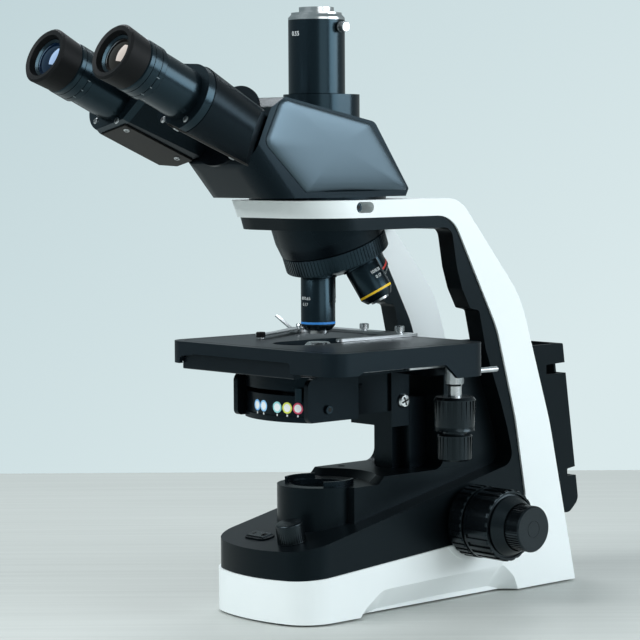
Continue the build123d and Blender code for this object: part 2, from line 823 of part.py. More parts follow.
with BuildPart() as nosepiece_turret:
    turned(
        apex, turret_axis,
        (pin_r + run_gap, turret_start), (turret_r - 1, turret_start), (turret_r, turret_start + 1),
        (turret_r, turret_end), (turret_r - 2, turret_end + 1), (turret_r - 2, cone_at(turret_r - 2)),
        (9, cone_at(9)), (9, turret_end + 11), (0, turret_end + 11), (0, turret_end + 8 + flat_gap),
        (pin_r + run_gap, turret_end + 8 + flat_gap),
    )
    for turn in positions.values():
        rod(apex, objective_axis(turn), objective_r + 1.2, shoulder - 12, shoulder)
        rod(apex, objective_axis(turn), rms_r, shoulder - rms_len, shoulder + 5, mode=Mode.SUBTRACT)
    rod(
        apex, turret_axis, pin_r + run_gap, turret_start - 1, turret_end + 8 + flat_gap, mode=Mode.SUBTRACT
    )
    ribbed(apex, turret_axis, turret_r, turret_start + 1, turret_end - 0.5, 90, 0.4, 1.2)
nosepiece_turret.part.label = "nosepiece_turret"

with BuildPart() as objective_40x:
    turned(
        apex, objective_axis(positions["40"]),
        (0, shoulder - rms_len), (rms_r, shoulder - rms_len), (rms_r, shoulder), (objective_r - 0.3, shoulder),
        (objective_r, shoulder + 0.6), (objective_r, shoulder + 35), (9.6, shoulder + 38.6),
        (8.2, shoulder + 38.6), (7.6, shoulder + 41), (0, shoulder + 41),
    )
objective_40x.part.label = "objective_40x"

with BuildPart() as objective_10x:
    turned(
        apex, objective_axis(positions["10"]),
        (0, shoulder - rms_len), (rms_r, shoulder - rms_len), (rms_r, shoulder), (objective_r - 0.3, shoulder),
        (objective_r, shoulder + 0.6), (objective_r, shoulder + 23), (9.6, shoulder + 27.4),
        (7.0, shoulder + 27.4), (6.6, shoulder + 29), (0, shoulder + 29),
    )
objective_10x.part.label = "objective_10x"

with BuildPart() as objective_4x:
    turned(
        apex, objective_axis(positions["4"]),
        (0, shoulder - rms_len), (rms_r, shoulder - rms_len), (rms_r, shoulder), (objective_r - 0.3, shoulder),
        (objective_r, shoulder + 0.6), (objective_r, shoulder + 19), (10.4, shoulder + 22),
        (8.4, shoulder + 22), (8.4, shoulder + 24), (0, shoulder + 24),
    )
objective_4x.part.label = "objective_4x"

with BuildPart() as objective_100x:
    turned(
        apex, objective_axis(positions["100"]),
        (0, shoulder - rms_len), (rms_r, shoulder - rms_len), (rms_r, shoulder), (objective_r - 0.3, shoulder),
        (objective_r, shoulder + 0.6), (objective_r, shoulder + 33), (8.6, shoulder + 39),
        (5.6, shoulder + 39), (4.6, shoulder + 44.4), (0, shoulder + 44.4),
    )
objective_100x.part.label = "objective_100x"

# Stage: carrier block on the post's rail
with BuildPart() as stage_carrier:
    with BuildSketch(Plane.XY.offset(carrier_bottom)):
        outline(
            (-carrier_left, carrier_front), (post_half, carrier_front),
            (post_half, post_front - flat_gap), (-carrier_left, post_front - flat_gap),
        )
        outline(
            (-rail_half - run_gap, rail_front - flat_gap), (rail_half + run_gap, rail_front - flat_gap),
            (rail_half + run_gap, post_front + 1), (-rail_half - run_gap, post_front + 1),
        )
    extrude(amount=carrier_top - carrier_bottom)
    with BuildSketch(Plane.XY.offset(carrier_bottom)):
        outline(
            (-rail_half - run_gap, rail_front - flat_gap), (rail_half + run_gap, rail_front - flat_gap),
            (rail_half + run_gap, post_front + 1), (-rail_half - run_gap, post_front + 1),
        )
    extrude(amount=carrier_top - carrier_bottom, mode=Mode.SUBTRACT)
    with Locations((post_half, 67.5, 150)):
        Cylinder(2.5, 10, rotation=(0, 90, 0), align=(Align.CENTER, Align.CENTER, Align.CENTER), mode=Mode.SUBTRACT)
stage_carrier.part.label = "stage_carrier"

# U-shaped frame under the stage plate, fixed to the carrier
frame_front = -29.0
frame_back = 80.0
frame_half = 60.0
with BuildPart() as stage_frame:
    with BuildSketch(Plane.XY.offset(carrier_top)):
        outline(
            (-frame_half, carrier_front), (frame_half, carrier_front),
            (frame_half, frame_back, 4), (-frame_half, frame_back, 4),
        )
    extrude(amount=frame_t)
    for side in (1, -1):
        with BuildSketch(Plane.XY.offset(cond_top + 1.3)):
            outline(
                (side * (rail_x - rail_w - 2), frame_front), (side * frame_half, frame_front),
                (side * frame_half, frame_back, 4), (side * (rail_x - rail_w - 2), frame_back),
            )
        extrude(amount=frame_top - cond_top - 1.3)
        with Locations((side * rail_x, (frame_front + frame_back) / 2, frame_top)):
            Box(rail_w, frame_back - frame_front - 6, 3.4, align=(Align.CENTER, Align.CENTER, Align.MIN))
stage_frame.part.label = "stage_frame"

# Stage plate: moves in depth on the rails
plate_low = stage_top_z - stage_plate_t
drive_at = (drive_x, drive_y, 0)
with BuildPart() as stage_plate:
    with BuildSketch(Plane.XY.offset(stage_rear_low)):
        outline(
            (-stage_half, stage_front, stage_corner), (stage_half, stage_front, stage_corner),
            (stage_half, stage_back, stage_corner), (-stage_half, stage_back, stage_corner),
        )
    extrude(amount=stage_top_z - stage_rear_low)
    with BuildSketch(Plane.XY.offset(stage_rear_low)):
        outline(
            (-stage_half + skirt_t, stage_front + skirt_t, stage_corner - skirt_t),
            (stage_half - skirt_t, stage_front + skirt_t, stage_corner - skirt_t),
            (stage_half - skirt_t, stage_back - skirt_t, stage_corner - skirt_t),
            (-stage_half + skirt_t, stage_back - skirt_t, stage_corner - skirt_t),
        )
    extrude(amount=plate_low - stage_rear_low, mode=Mode.SUBTRACT)
    # lower edge of the skirt along the sides
    with BuildSketch(Plane.YZ):
        outline(
            (stage_front - 1, stage_rear_low - 1), (stage_front - 1, stage_low),
            (-46.0, stage_low, 3), (-41.0, stage_mid, 3), (40.0, stage_mid, 4), (52.0, stage_rear_low),
            (52.0, stage_rear_low - 1),
        )
    extrude(amount=stage_half + 1, both=True, mode=Mode.SUBTRACT)
    # front and rear openings in the skirt
    with BuildSketch(Plane.XZ.offset(-stage_front + 1)):
        outline((-77.0, stage_low - 1), (46.0, stage_low - 1), (46.0, 188.6, 3), (-60.0, 188.6, 3), (-77.0, 186.0, 3))
    extrude(amount=-skirt_t - 2, mode=Mode.SUBTRACT)
    with Locations((0, stage_back, stage_rear_low - 1)):
        Box(
            2 * frame_half + 8, 2 * skirt_t + 2, plate_low - stage_rear_low + 1,
            align=(Align.CENTER, Align.CENTER, Align.MIN), mode=Mode.SUBTRACT,
        )
    # bearing strips over the rails, and lugs for drive and guide rod
    for side in (1, -1):
        with Locations((side * rail_x, (frame_front + frame_back) / 2, plate_low)):
            Box(
                rail_w, frame_back - frame_front - 6, plate_low - frame_top - 3.4 - flat_gap,
                align=(Align.CENTER, Align.CENTER, Align.MAX),
            )
    with Locations((drive_x, drive_y, plate_low)):
        Cylinder(drive_sleeve_r + 4, plate_low - 181.0, align=(Align.CENTER, Align.CENTER, Align.MAX))
        Cylinder(
            drive_sleeve_r + run_gap, plate_low - 176.0,
            align=(Align.CENTER, Align.CENTER, Align.MAX), mode=Mode.SUBTRACT,
        )
    # oblong aperture for the condenser
    with BuildSketch(Plane.XY.offset(plate_low)):
        outline(
            (-aperture_half, aperture_y[0], aperture_half - 0.1), (aperture_half, aperture_y[0], aperture_half - 0.1),
            (aperture_half, aperture_y[1], aperture_half - 0.1), (-aperture_half, aperture_y[1], aperture_half - 0.1),
        )
    extrude(amount=stage_plate_t, mode=Mode.SUBTRACT)
    with Locations(Location((rod_x, stage_back, rod_z), (90, 0, 0))):
        Cylinder(rod_r, 12 * skirt_t, mode=Mode.SUBTRACT)
stage_plate.part.label = "stage_plate"

with BuildPart() as guide_rod:
    with Locations(Location((rod_x, stage_back + rod_out, rod_z), (90, 0, 0))):
        Cylinder(rod_r, rod_out + 2 * skirt_t, align=(Align.CENTER, Align.CENTER, Align.MIN))
guide_rod.part.label = "guide_rod"

bar_front = stage_front + skirt_t + flat_gap
bar_back = bar_front + 7.0
with BuildPart() as stage_front_bar:
    with BuildSketch(Plane.YZ):
        outline((bar_front, 176.8, 1), (bar_back, 176.8, 1), (bar_back, plate_low), (bar_front, plate_low))
    extrude(amount=46)
    with BuildSketch(Plane.YZ):
        outline((bar_front, 176.8, 1), (bar_back, 176.8, 1), (bar_back, plate_low), (bar_front, plate_low))
    extrude(amount=-77)
stage_front_bar.part.label = "stage_front_bar"

# Coaxial stage drive: sleeve and upper knob for depth, inner shaft and lower knob for width
sleeve_top = plate_low - flat_gap
with BuildPart() as y_drive_sleeve:
    turned(
        drive_at, up,
        (drive_shaft_r + run_gap, y_knob_z[1] - 10), (drive_sleeve_r, y_knob_z[1] - 10),
        (drive_sleeve_r, 165.0), (6.8, 167.0), (6.8, 180.0), (drive_sleeve_r, 180.0),
        (drive_sleeve_r, sleeve_top), (drive_shaft_r + run_gap, sleeve_top),
    )
    ribbed(drive_at, up, 6.8, 166.0, 181.0, 36, 0.4, 0.8)
y_drive_sleeve.part.label = "y_drive_sleeve"

with BuildPart() as stage_y_knob:
    turned(
        drive_at, up,
        (drive_shaft_r + run_gap, y_knob_z[0]), (y_knob_r - 0.5, y_knob_z[0]), (y_knob_r - 1, y_knob_z[0] + 1),
        (y_knob_r, y_knob_z[1] - 2), (y_knob_r - 1.5, y_knob_z[1]), (drive_sleeve_r, y_knob_z[1]),
        (drive_sleeve_r, y_knob_z[1] - 10), (drive_shaft_r + run_gap, y_knob_z[1] - 10),
    )
    ribbed(drive_at, up, y_knob_r, y_knob_z[0] - 1, y_knob_z[1] - 2.5, 24, 0.8, 2.6)
stage_y_knob.part.label = "stage_y_knob"

with BuildPart() as stage_x_knob:
    turned(
        drive_at, up,
        (0, x_knob_z[0]), (x_knob_r - 2, x_knob_z[0]), (x_knob_r - 0.6, x_knob_z[0] + 1.4),
        (x_knob_r, x_knob_z[1] - 1), (x_knob_r - 0.8, x_knob_z[1]), (9.0, x_knob_z[1]),
        (9.0, y_knob_z[0] - flat_gap), (drive_shaft_r, y_knob_z[0] - flat_gap),
        (drive_shaft_r, sleeve_top), (0, sleeve_top),
    )
    ribbed(drive_at, up, x_knob_r, x_knob_z[0] - 1, x_knob_z[1] - 1.5, 22, 0.7, 2.4)
stage_x_knob.part.label = "stage_x_knob"

# Slide holder on the plate: rear bar, fixed jaw, sprung finger
holder_z = stage_top_z + flat_gap
jaw_x = holder_x + slide_len / 2
left_x = holder_x - slide_len / 2
with BuildPart() as slide_holder:
    with BuildSketch(Plane.XY.offset(holder_z)):
        outline(
            (left_x - 22, holder_y - 6, 3), (jaw_x, holder_y - 6, 2), (jaw_x, 6, 1),
            (jaw_x + 6, 6, 2), (jaw_x + 6, holder_y + 6, 3), (left_x - 22, holder_y + 6, 3),
        )
        outline(
            (left_x - 22, finger_at[1] - 8, 7), (left_x - 6, finger_at[1] - 8, 7),
            (left_x - 6, holder_y), (left_x - 22, holder_y),
        )
    extrude(amount=holder_t)
    with Locations((*finger_at, holder_z)):
        Cylinder(2.0, holder_t, align=(Align.CENTER, Align.CENTER, Align.MIN), mode=Mode.SUBTRACT)
slide_holder.part.label = "slide_holder"

finger_low = holder_z + holder_t + flat_gap
screw_spots = ((-36.0, holder_y), (3.0, holder_y))
with BuildPart() as holder_screws:
    for x, y in screw_spots:
        turned(
            (x, y, holder_z + holder_t), up,
            (0, 0), (2.4, 0), (2.4, 1.0), (3.6, 1.2), (3.6, 4.6), (3.0, 5.2), (0, 5.2),
        )
    # screw that the sprung finger turns on
    turned(
        (*finger_at, 0), up,
        (0, holder_z), (2.0, holder_z), (2.0, finger_low + 2.4 + flat_gap), (3.6, finger_low + 2.4 + flat_gap),
        (3.2, finger_low + 4.0), (0, finger_low + 4.0),
    )
holder_screws.part.label = "holder_screws"

with BuildPart() as slide_finger:
    with BuildSketch(Plane.XY.offset(finger_low)):
        outline(
            (-84.0, 54.0, 5), (-81.0, 43.0, 8), (-62.0, 10.0, 30), (-49.0, -20.0, 2),
            (-42.0, -17.0, 2), (-55.0, 12.0, 30), (-72.0, 46.0, 6), (-74.0, 58.0, 5),
        )
    extrude(amount=1.2)
    with Locations((*finger_at, finger_low)):
        Cylinder(3.4, 2.4, align=(Align.CENTER, Align.CENTER, Align.MIN))
        Cylinder(2.0 + run_gap, 9, mode=Mode.SUBTRACT)
    with Locations((-46.0, -16.0, holder_z + 0.2)):
        Cylinder(3.2, 4.6, align=(Align.CENTER, Align.CENTER, Align.MIN))
    with BuildSketch(Plane(origin=(-80, 50, finger_low + 0.6), x_dir=(-1, 0, 0), z_dir=(0, 1, 0))):
        outline((0, -0.6), (8, -0.6), (24, 8.0), (23.4, 9.0), (7.6, 0.6), (0, 0.6))
    extrude(amount=1.6, both=True)
slide_finger.part.label = "slide_finger"

# Condenser on the carrier
band_at = (0, band_front + band_r)
with BuildPart() as condenser_body:
    with BuildSketch(Plane.XY.offset(cond_bottom)):
        with Locations(band_at):
            Circle(band_r)
    extrude(amount=cond_top - cond_bottom)
    with BuildSketch(Plane.XY.offset(cond_bottom)):
        outline(
            (-cheek_in, -60), (cheek_in, -60), (cheek_in, 6), (neck_half, 24),
            (neck_half, carrier_front - flat_gap), (-neck_half, carrier_front - flat_gap),
            (-neck_half, 24), (-cheek_in, 6),
        )
    extrude(amount=cond_top - cond_bottom, mode=Mode.INTERSECT)
    # label band is set back, and a slot for the iris lever runs above it
    with BuildSketch(Plane.XY.offset(cond_bottom + 4)):
        with Locations(band_at):
            Circle(band_r + 12)
            Circle(band_r - band_set, mode=Mode.SUBTRACT)
    extrude(amount=band_top - cond_bottom - 4, mode=Mode.SUBTRACT)
    with BuildSketch(Plane.XY.offset(band_top)):
        Circle(iris_ring_r + 2.5)
        outline((-60, -60), (60, -60), (60, -12), (-60, -12))
        Circle(iris_ring_r, mode=Mode.SUBTRACT)
    extrude(amount=slot_top - band_top, mode=Mode.SUBTRACT)
    for side in (1, -1):
        with BuildSketch(Plane.YZ.offset(side * cheek_in)):
            outline(
                (cheek_front, cond_bottom + 1, 4), (cheek_back, cond_bottom + 1, 2),
                (cheek_back, cond_top - 0.6, 2), (cheek_front, cond_top - 0.6, 6),
            )
        extrude(amount=side * (cheek_out - cheek_in))
    # seat of the lens and the light path
    rod(home, up, lens_r, cond_top - 8, cond_top + 1, mode=Mode.SUBTRACT)
    rod(home, up, 12.0, cond_bottom - 1, cond_top, mode=Mode.SUBTRACT)
    with Locations((cheek_in, *set_screw_at)):
        Cylinder(1.8, 12, rotation=(0, 90, 0), mode=Mode.SUBTRACT)
condenser_body.part.label = "condenser_body"

with BuildPart() as condenser_lens:
    turned(
        home, up,
        (0, cond_top - 8), (lens_r, cond_top - 8), (lens_r, lens_top - 8), (8.6, lens_top - 0.6),
        (7.8, lens_top), (0, lens_top),
    )
condenser_lens.part.label = "condenser_lens"

with BuildPart() as iris_lever:
    with BuildSketch(Plane.XY.offset(band_top + flat_gap)):
        Circle(iris_ring_r + 1.5)
        Circle(iris_ring_r + run_gap, mode=Mode.SUBTRACT)
    extrude(amount=slot_top - band_top - 2 * flat_gap)
    lever_plane = Plane.XY.rotated((0, 0, lever_turn))
    with BuildSketch(lever_plane.offset(band_top + flat_gap)):
        outline(
            (-2.5, -iris_ring_r - 0.5), (-2.5, -lever_reach - 1), (2.5, -lever_reach - 1), (2.5, -iris_ring_r - 0.5)
        )
    extrude(amount=slot_top - band_top - 2 * flat_gap)
    with BuildSketch(lever_plane.offset(band_top - 4)):
        outline(
            (-2.7, -lever_reach, 0.8), (-2.7, -lever_reach - 2.6, 0.8),
            (2.7, -lever_reach - 2.6, 0.8), (2.7, -lever_reach, 0.8),
        )
    extrude(amount=10)
iris_lever.part.label = "iris_lever"

# Head: turns on a dovetail disc on the arm
roof = ((-66.0, 374.5), (20.0, 357.5))


def roof_at(y):
    (y1, z1), (y2, z2) = roof
    return z1 + (z2 - z1) * (y - y1) / (y2 - y1)


eye_axis = (0, -cos(radians(eye_tilt)), sin(radians(eye_tilt)))
eye_up = (0, sin(radians(eye_tilt)), cos(radians(eye_tilt)))


def on_pivot(t):
    """Point on the spindle axis, t behind the eyecups."""
    return tuple(
        b + pivot_rise * u - t * e for b, u, e in zip((0, eye_y, eye_z), eye_up, eye_axis)
    )


def eye_face(t):
    """Plane across the eyepieces, t behind the eyecups; its x is sideways and y is up."""
    return Plane(origin=on_pivot(t), x_dir=(1, 0, 0), z_dir=eye_axis)


def on_face(t, rise):
    """Depth and height of a point on the face at t, rise above the spindle axis."""
    _, y, z = on_pivot(t)
    return (y + rise * eye_up[1], z + rise * eye_up[2])


head_low = arm_top + dovetail_t
brow = on_face(head_face, 14.0)
chin = on_face(head_face, -29.6)
chin_foot = -76.0
flange_r = 31.0
panel_t = 1.0
panel_top = 4.0       # below the roof line
panel_recess = (
    (-47.0, head_low + 6.0, 3), (-84.0, 342.5, 6), (-68.0, roof_at(-68.0) - panel_top, 8),
    (14.0, roof_at(14.0) - panel_top, 6), (52.0, head_low + 6.0, 2),
)
panel_edge = (
    (-46.2, head_low + 6.8, 3), (-82.9, 342.5, 6), (-68.0, roof_at(-68.0) - panel_top, 8),
    (14.0, roof_at(14.0) - panel_top, 6), (51.3, head_low + 6.8, 2),
)
with BuildPart() as head_body:
    with BuildSketch(Plane.YZ):
        outline(
            (chin_foot, head_low, 3), (*chin, 8), (*brow, 5), (*roof[0], 5), (*roof[1], 8),
            (54.0, 309.0, 2), (51.0, head_low),
        )
    extrude(amount=head_half, both=True)
    with BuildSketch(Plane.XY.offset(head_low)):
        outline(
            (-head_half, chin_foot, head_corner), (head_half, chin_foot, head_corner),
            (head_half, 160, 4), (-head_half, 160, 4),
        )
    extrude(amount=130, dir=(0, chin[0] - chin_foot, chin[1] - head_low), mode=Mode.INTERSECT)
    # dovetail disc that turns on the arm
    turned(
        home, up,
        (0, arm_top - 8), (18, arm_top - 8), (21, arm_top + flat_gap), (dovetail_r, arm_top + flat_gap),
        (dovetail_r, head_low), (0, head_low),
    )
    # boss behind the hinge barrels, and the spindle's bore
    rod(on_pivot(0), tuple(-v for v in eye_axis), barrel_r - 1, barrel_back + flat_gap, head_face + 6)
    rod(on_pivot(0), tuple(-v for v in eye_axis), flange_r, wing_back + flat_gap, head_face + 1)
    rod(on_pivot(0), tuple(-v for v in eye_axis), spindle_r, head_face - 10, head_face + 24, mode=Mode.SUBTRACT)
    for side in (1, -1):
        with BuildSketch(Plane.YZ.offset(side * head_half)):
            outline(*panel_recess)
        extrude(amount=-side * panel_t, mode=Mode.SUBTRACT)
head_body.part.label = "head_body"

with BuildPart() as head_side_panels:
    for side in (1, -1):
        with BuildSketch(Plane.YZ.offset(side * (head_half - panel_t))):
            outline(*panel_edge)
        extrude(amount=side * (panel_t + 0.4))
head_side_panels.part.label = "head_side_panels"

with BuildPart() as phototube_collar:
    with BuildSketch(Plane.XY.offset(roof_at(40))):
        Circle(collar_stadium_r)
        with Locations((0, 9)):
            Circle(collar_stadium_r)
        make_hull()
    extrude(amount=collar_top - roof_at(40))
    with BuildSketch(Plane.YZ):
        outline((-60, roof_at(-60)), roof[1], (54.0, 309.0), (54.0, 300), (-60, 300))
    extrude(amount=head_half, both=True, mode=Mode.SUBTRACT)
phototube_collar.part.label = "phototube_collar"

with BuildPart() as photo_tube:
    turned(
        home, up,
        (15.0, collar_top), (photo_r - 0.5, collar_top), (photo_r, collar_top + 0.5),
        (photo_r, photo_top), (15.0, photo_top),
    )
photo_tube.part.label = "photo_tube"

with BuildPart() as camera_adapter:
    adapter_top = photo_top + adapter_h
    turned(
        home, up,
        (10.0, photo_top), (photo_r, photo_top), (photo_r, photo_top + 1.6), (photo_r - 2.2, photo_top + 4.0),
        (photo_r - 2.2, adapter_top - c_thread_len), (c_thread_r, adapter_top - c_thread_len),
        (c_thread_r, adapter_top), (10.0, adapter_top),
    )
camera_adapter.part.label = "camera_adapter"

screw_at = (0, 4.0, photo_top - 5.6)
with BuildPart() as tube_thumb_screw:
    turned(
        screw_at, along_x,
        (0, photo_r + 0.3), (1.9, photo_r + 0.3), (1.9, photo_r + 1.2), (3.8, photo_r + 1.5), (3.8, photo_r + 6.5),
        (3.2, photo_r + 7), (0, photo_r + 7),
    )
    ribbed(screw_at, along_x, 3.8, photo_r + 1.7, photo_r + 6.4, 20, 0.3, 0.8)
tube_thumb_screw.part.label = "tube_thumb_screw"

back_axis = tuple(-v for v in eye_axis)
with BuildPart() as hinge_spindle:
    turned(
        on_pivot(0), back_axis,
        (0, wing_front), (9.5, wing_front), (9.5, barrel_front - flat_gap), (spindle_r, barrel_front - flat_gap),
        (spindle_r, head_face + 24), (0, head_face + 24),
    )
hinge_spindle.part.label = "hinge_spindle"


def wing_section(radius, drop):
    """Teardrop between the hinge barrel and a round about the right eyepiece."""
    Circle(barrel_r)
    with Locations((eye_x + 1, -pivot_rise - drop)):
        Circle(radius)
    make_hull()


wing_start = wing_front + 6
hang = atan(pivot_rise / eye_x)   # each wing hangs this far below level
arm_out = Vector(cos(hang), -sin(hang))
arm_up = Vector(sin(hang), cos(hang))


def wing_spot(out, rise):
    """Sketch point out along the wing's arm from the eyepiece axis, and rise above it."""
    spot = Vector(eye_x, -pivot_rise) + arm_out * out + arm_up * rise
    return (spot.X, spot.Y)


def under_wing(inner, top, bottom):
    """Slab under the right wing between two rises, sloping with the wing's underside."""
    with BuildSketch(eye_face(wing_back), mode=Mode.PRIVATE) as slab:
        outline(
            wing_spot(inner, wing_floor_back + top), wing_spot(60, wing_floor_back + top),
            wing_spot(60, wing_floor_back + bottom), wing_spot(inner, wing_floor_back + bottom),
        )
    fall = Vector(*eye_axis) * (wing_back - wing_start) + (
        Vector(sin(hang), 0, 0) + Vector(*eye_up) * cos(hang)
    ) * (wing_floor - wing_floor_back)
    return slab.sketch, fall


def trim_wing():
    """Rear chamfer, the fold relief below the spindle and the middle plane."""
    fold = radians(90 - fold_range)
    level = Plane(origin=(0, eye_y, eye_z), x_dir=(1, 0, 0), z_dir=eye_up)
    with BuildSketch(level, mode=Mode.PRIVATE) as corner:
        outline(
            (eye_x + wing_cut, wing_back), (eye_x + wing_cut + 40, wing_back - 40),
            (eye_x + wing_cut + 40, wing_back + 5), (eye_x + wing_cut, wing_back + 5),
        )
    extrude(corner.sketch, amount=60, both=True, mode=Mode.SUBTRACT)
    with BuildSketch(eye_face(wing_back + 1), mode=Mode.PRIVATE) as cuts:
        outline(
            (fold_gap, 0), (fold_gap + 90 * cos(fold), -90 * sin(fold)), (-60, -90 * sin(fold)), (-60, 0)
        )
        outline((-60, -60), (flat_gap, -60), (flat_gap, 60), (-60, 60))
    extrude(cuts.sketch, amount=wing_back + 6 - wing_front, dir=eye_axis, mode=Mode.SUBTRACT)


def clear_hinge(start, end):
    """Room for the other wing's barrel between two distances."""
    rod(on_pivot(0), back_axis, barrel_r + 1.0, start, end, mode=Mode.SUBTRACT)


def hinge_barrel(start, end):
    """Own barrel, bored for the spindle."""
    rod(on_pivot(0), back_axis, barrel_r, start, end)
    rod(on_pivot(0), back_axis, spindle_r + run_gap, start - 1, end + 1, mode=Mode.SUBTRACT)


cover_drop = 1.2
cover_inner = -8.5    # inner edge of the cover, from the eyepiece axis
with BuildPart() as wing_right:
    with BuildSketch(eye_face(wing_back)):
        wing_section(wing_r_back, wing_drop_back)
    with BuildSketch(eye_face(wing_start)):
        wing_section(wing_r, wing_drop)
    loft(ruled=True)
    floor_slab, fall = under_wing(-80, cover_drop, -60)
    extrude(floor_slab, amount=fall.length, dir=fall, mode=Mode.SUBTRACT)
    trim_wing()
    clear_hinge(barrel_mid - flat_gap / 2, wing_back + 1)
    hinge_barrel(barrel_front, barrel_mid - flat_gap / 2)
wing_right.part.label = "wing_right"

with BuildPart() as wing_left:
    with BuildSketch(eye_face(wing_back)):
        wing_section(wing_r_back, wing_drop_back)
    with BuildSketch(eye_face(wing_start)):
        wing_section(wing_r, wing_drop)
    loft(ruled=True)
    extrude(floor_slab, amount=fall.length, dir=fall, mode=Mode.SUBTRACT)
    trim_wing()
    clear_hinge(wing_start - 1, barrel_mid + flat_gap / 2)
    clear_hinge(barrel_back, wing_back + 1)
    hinge_barrel(barrel_mid + flat_gap / 2, barrel_back)
    mirror(about=Plane.YZ, mode=Mode.REPLACE)
wing_left.part.label = "wing_left"

with BuildPart() as wing_cover_right:
    with BuildSketch(eye_face(wing_back)):
        wing_section(wing_r_back, wing_drop_back)
    with BuildSketch(eye_face(wing_start)):
        wing_section(wing_r, wing_drop)
    loft(ruled=True)
    cover_slab, fall = under_wing(cover_inner, cover_drop, 0)
    extrude(cover_slab, amount=fall.length, dir=fall, mode=Mode.INTERSECT)
    trim_wing()
wing_cover_right.part.label = "wing_cover_right"

with BuildPart() as wing_cover_left:
    mirror(wing_cover_right.part, about=Plane.YZ)
wing_cover_left.part.label = "wing_cover_left"

eye_at = (eye_x, eye_y, eye_z)
with BuildPart() as wing_plate_right:
    with BuildSketch(eye_face(wing_start)):
        wing_section(wing_r - 0.6, wing_drop)
    extrude(amount=wing_start - wing_front, taper=4)
    with BuildSketch(eye_face(wing_start + 1), mode=Mode.PRIVATE) as under:
        outline(
            wing_spot(-80, wing_floor + 1), wing_spot(80, wing_floor + 1),
            wing_spot(80, wing_floor - 60), wing_spot(-80, wing_floor - 60),
        )
    extrude(under.sketch, amount=wing_start + 3 - wing_front, dir=eye_axis, mode=Mode.SUBTRACT)
    trim_wing()
    rod(on_pivot(0), back_axis, barrel_r + 1.0, wing_front - 2, wing_start + 1, mode=Mode.SUBTRACT)
    rod(eye_at, back_axis, tube_r, wing_front - 2, wing_start + 1, mode=Mode.SUBTRACT)
wing_plate_right.part.label = "wing_plate_right"

with BuildPart() as wing_plate_left:
    mirror(wing_plate_right.part, about=Plane.YZ)
wing_plate_left.part.label = "wing_plate_left"

with BuildPart() as eyepiece_tube_right:
    turned(
        eye_at, back_axis,
        (13.0, ring_end), (tube_r, ring_end), (tube_r, wing_start), (13.0, wing_start),
    )
    turned(
        eye_at, back_axis,
        (13.0, cup_len), (tube_r - 2.5, cup_len), (tube_r - 2.5, ring_end), (13.0, ring_end),
    )
eyepiece_tube_right.part.label = "eyepiece_tube_right"

with BuildPart() as eyepiece_tube_left:
    mirror(eyepiece_tube_right.part, about=Plane.YZ)
eyepiece_tube_left.part.label = "eyepiece_tube_left"

with BuildPart() as dioptre_ring_right:
    turned(
        eye_at, back_axis,
        (tube_r - 2.5 + run_gap, ring_begin), (ring_out - 0.8, ring_begin), (ring_out, ring_begin + 0.8),
        (ring_out, ring_end - 1.1), (ring_out - 0.8, ring_end - flat_gap), (tube_r - 2.5 + run_gap, ring_end - flat_gap),
    )
    for groove in (ring_begin + 4.0, ring_end - 5.5):
        turned(
            eye_at, back_axis,
            (ring_out - 0.4, groove), (ring_out + 1, groove), (ring_out + 1, groove + 0.5), (ring_out - 0.4, groove + 0.5),
            mode=Mode.SUBTRACT,
        )
dioptre_ring_right.part.label = "dioptre_ring_right"

with BuildPart() as dioptre_ring_left:
    mirror(dioptre_ring_right.part, about=Plane.YZ)
dioptre_ring_left.part.label = "dioptre_ring_left"

with BuildPart() as eyecup_right:
    turned(
        eye_at, back_axis,
        (lens_rim, 5.6), (15.4, 0.6), (cup_r - 1.5, 0), (cup_r, 1.5), (cup_r - 1.2, cup_len + 4),
        (tube_r - 2.5, cup_len + 4), (tube_r - 2.5, cup_len), (lens_rim, cup_len),
    )
eyecup_right.part.label = "eyecup_right"

with BuildPart() as eyecup_left:
    mirror(eyecup_right.part, about=Plane.YZ)
eyecup_left.part.label = "eyecup_left"

with BuildPart() as eye_lens_right:
    turned(eye_at, back_axis, (0, 4.4), (8.0, 4.8), (lens_rim, 6.0), (lens_rim, 9.0), (0, 9.0))
eye_lens_right.part.label = "eye_lens_right"

with BuildPart() as eye_lens_left:
    mirror(eye_lens_right.part, about=Plane.YZ)
eye_lens_left.part.label = "eye_lens_left"

pieces = (
    arch_shell, base_shell, bottom_plate, rubber_feet, base_cover, filter_ring, field_lens, led_lamp,
    power_rocker, brightness_knob, cord_winder, power_inlet, tension_collar,
    coarse_knob_right, coarse_knob_left, fine_knob_right, fine_knob_left, focus_post, arm_lining,
    nosepiece_housing, nosepiece_turret, objective_40x, objective_10x, objective_4x, objective_100x,
    stage_carrier, stage_frame, stage_plate, guide_rod, stage_front_bar,
    y_drive_sleeve, stage_y_knob, stage_x_knob, slide_holder, holder_screws, slide_finger,
    condenser_body, condenser_lens, iris_lever, head_body,
    head_side_panels, phototube_collar, photo_tube, camera_adapter, tube_thumb_screw, hinge_spindle,
    wing_right, wing_left, wing_cover_right, wing_cover_left, wing_plate_right, wing_plate_left,
    eyepiece_tube_right, eyepiece_tube_left, dioptre_ring_right, dioptre_ring_left, eyecup_right, eyecup_left,
    eye_lens_right, eye_lens_left,
)
for piece in pieces:
    export_step(piece.part, f"parts/{piece.part.label}.step")
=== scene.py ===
import math

import bmesh
import bpy
from mathutils import Matrix, Vector


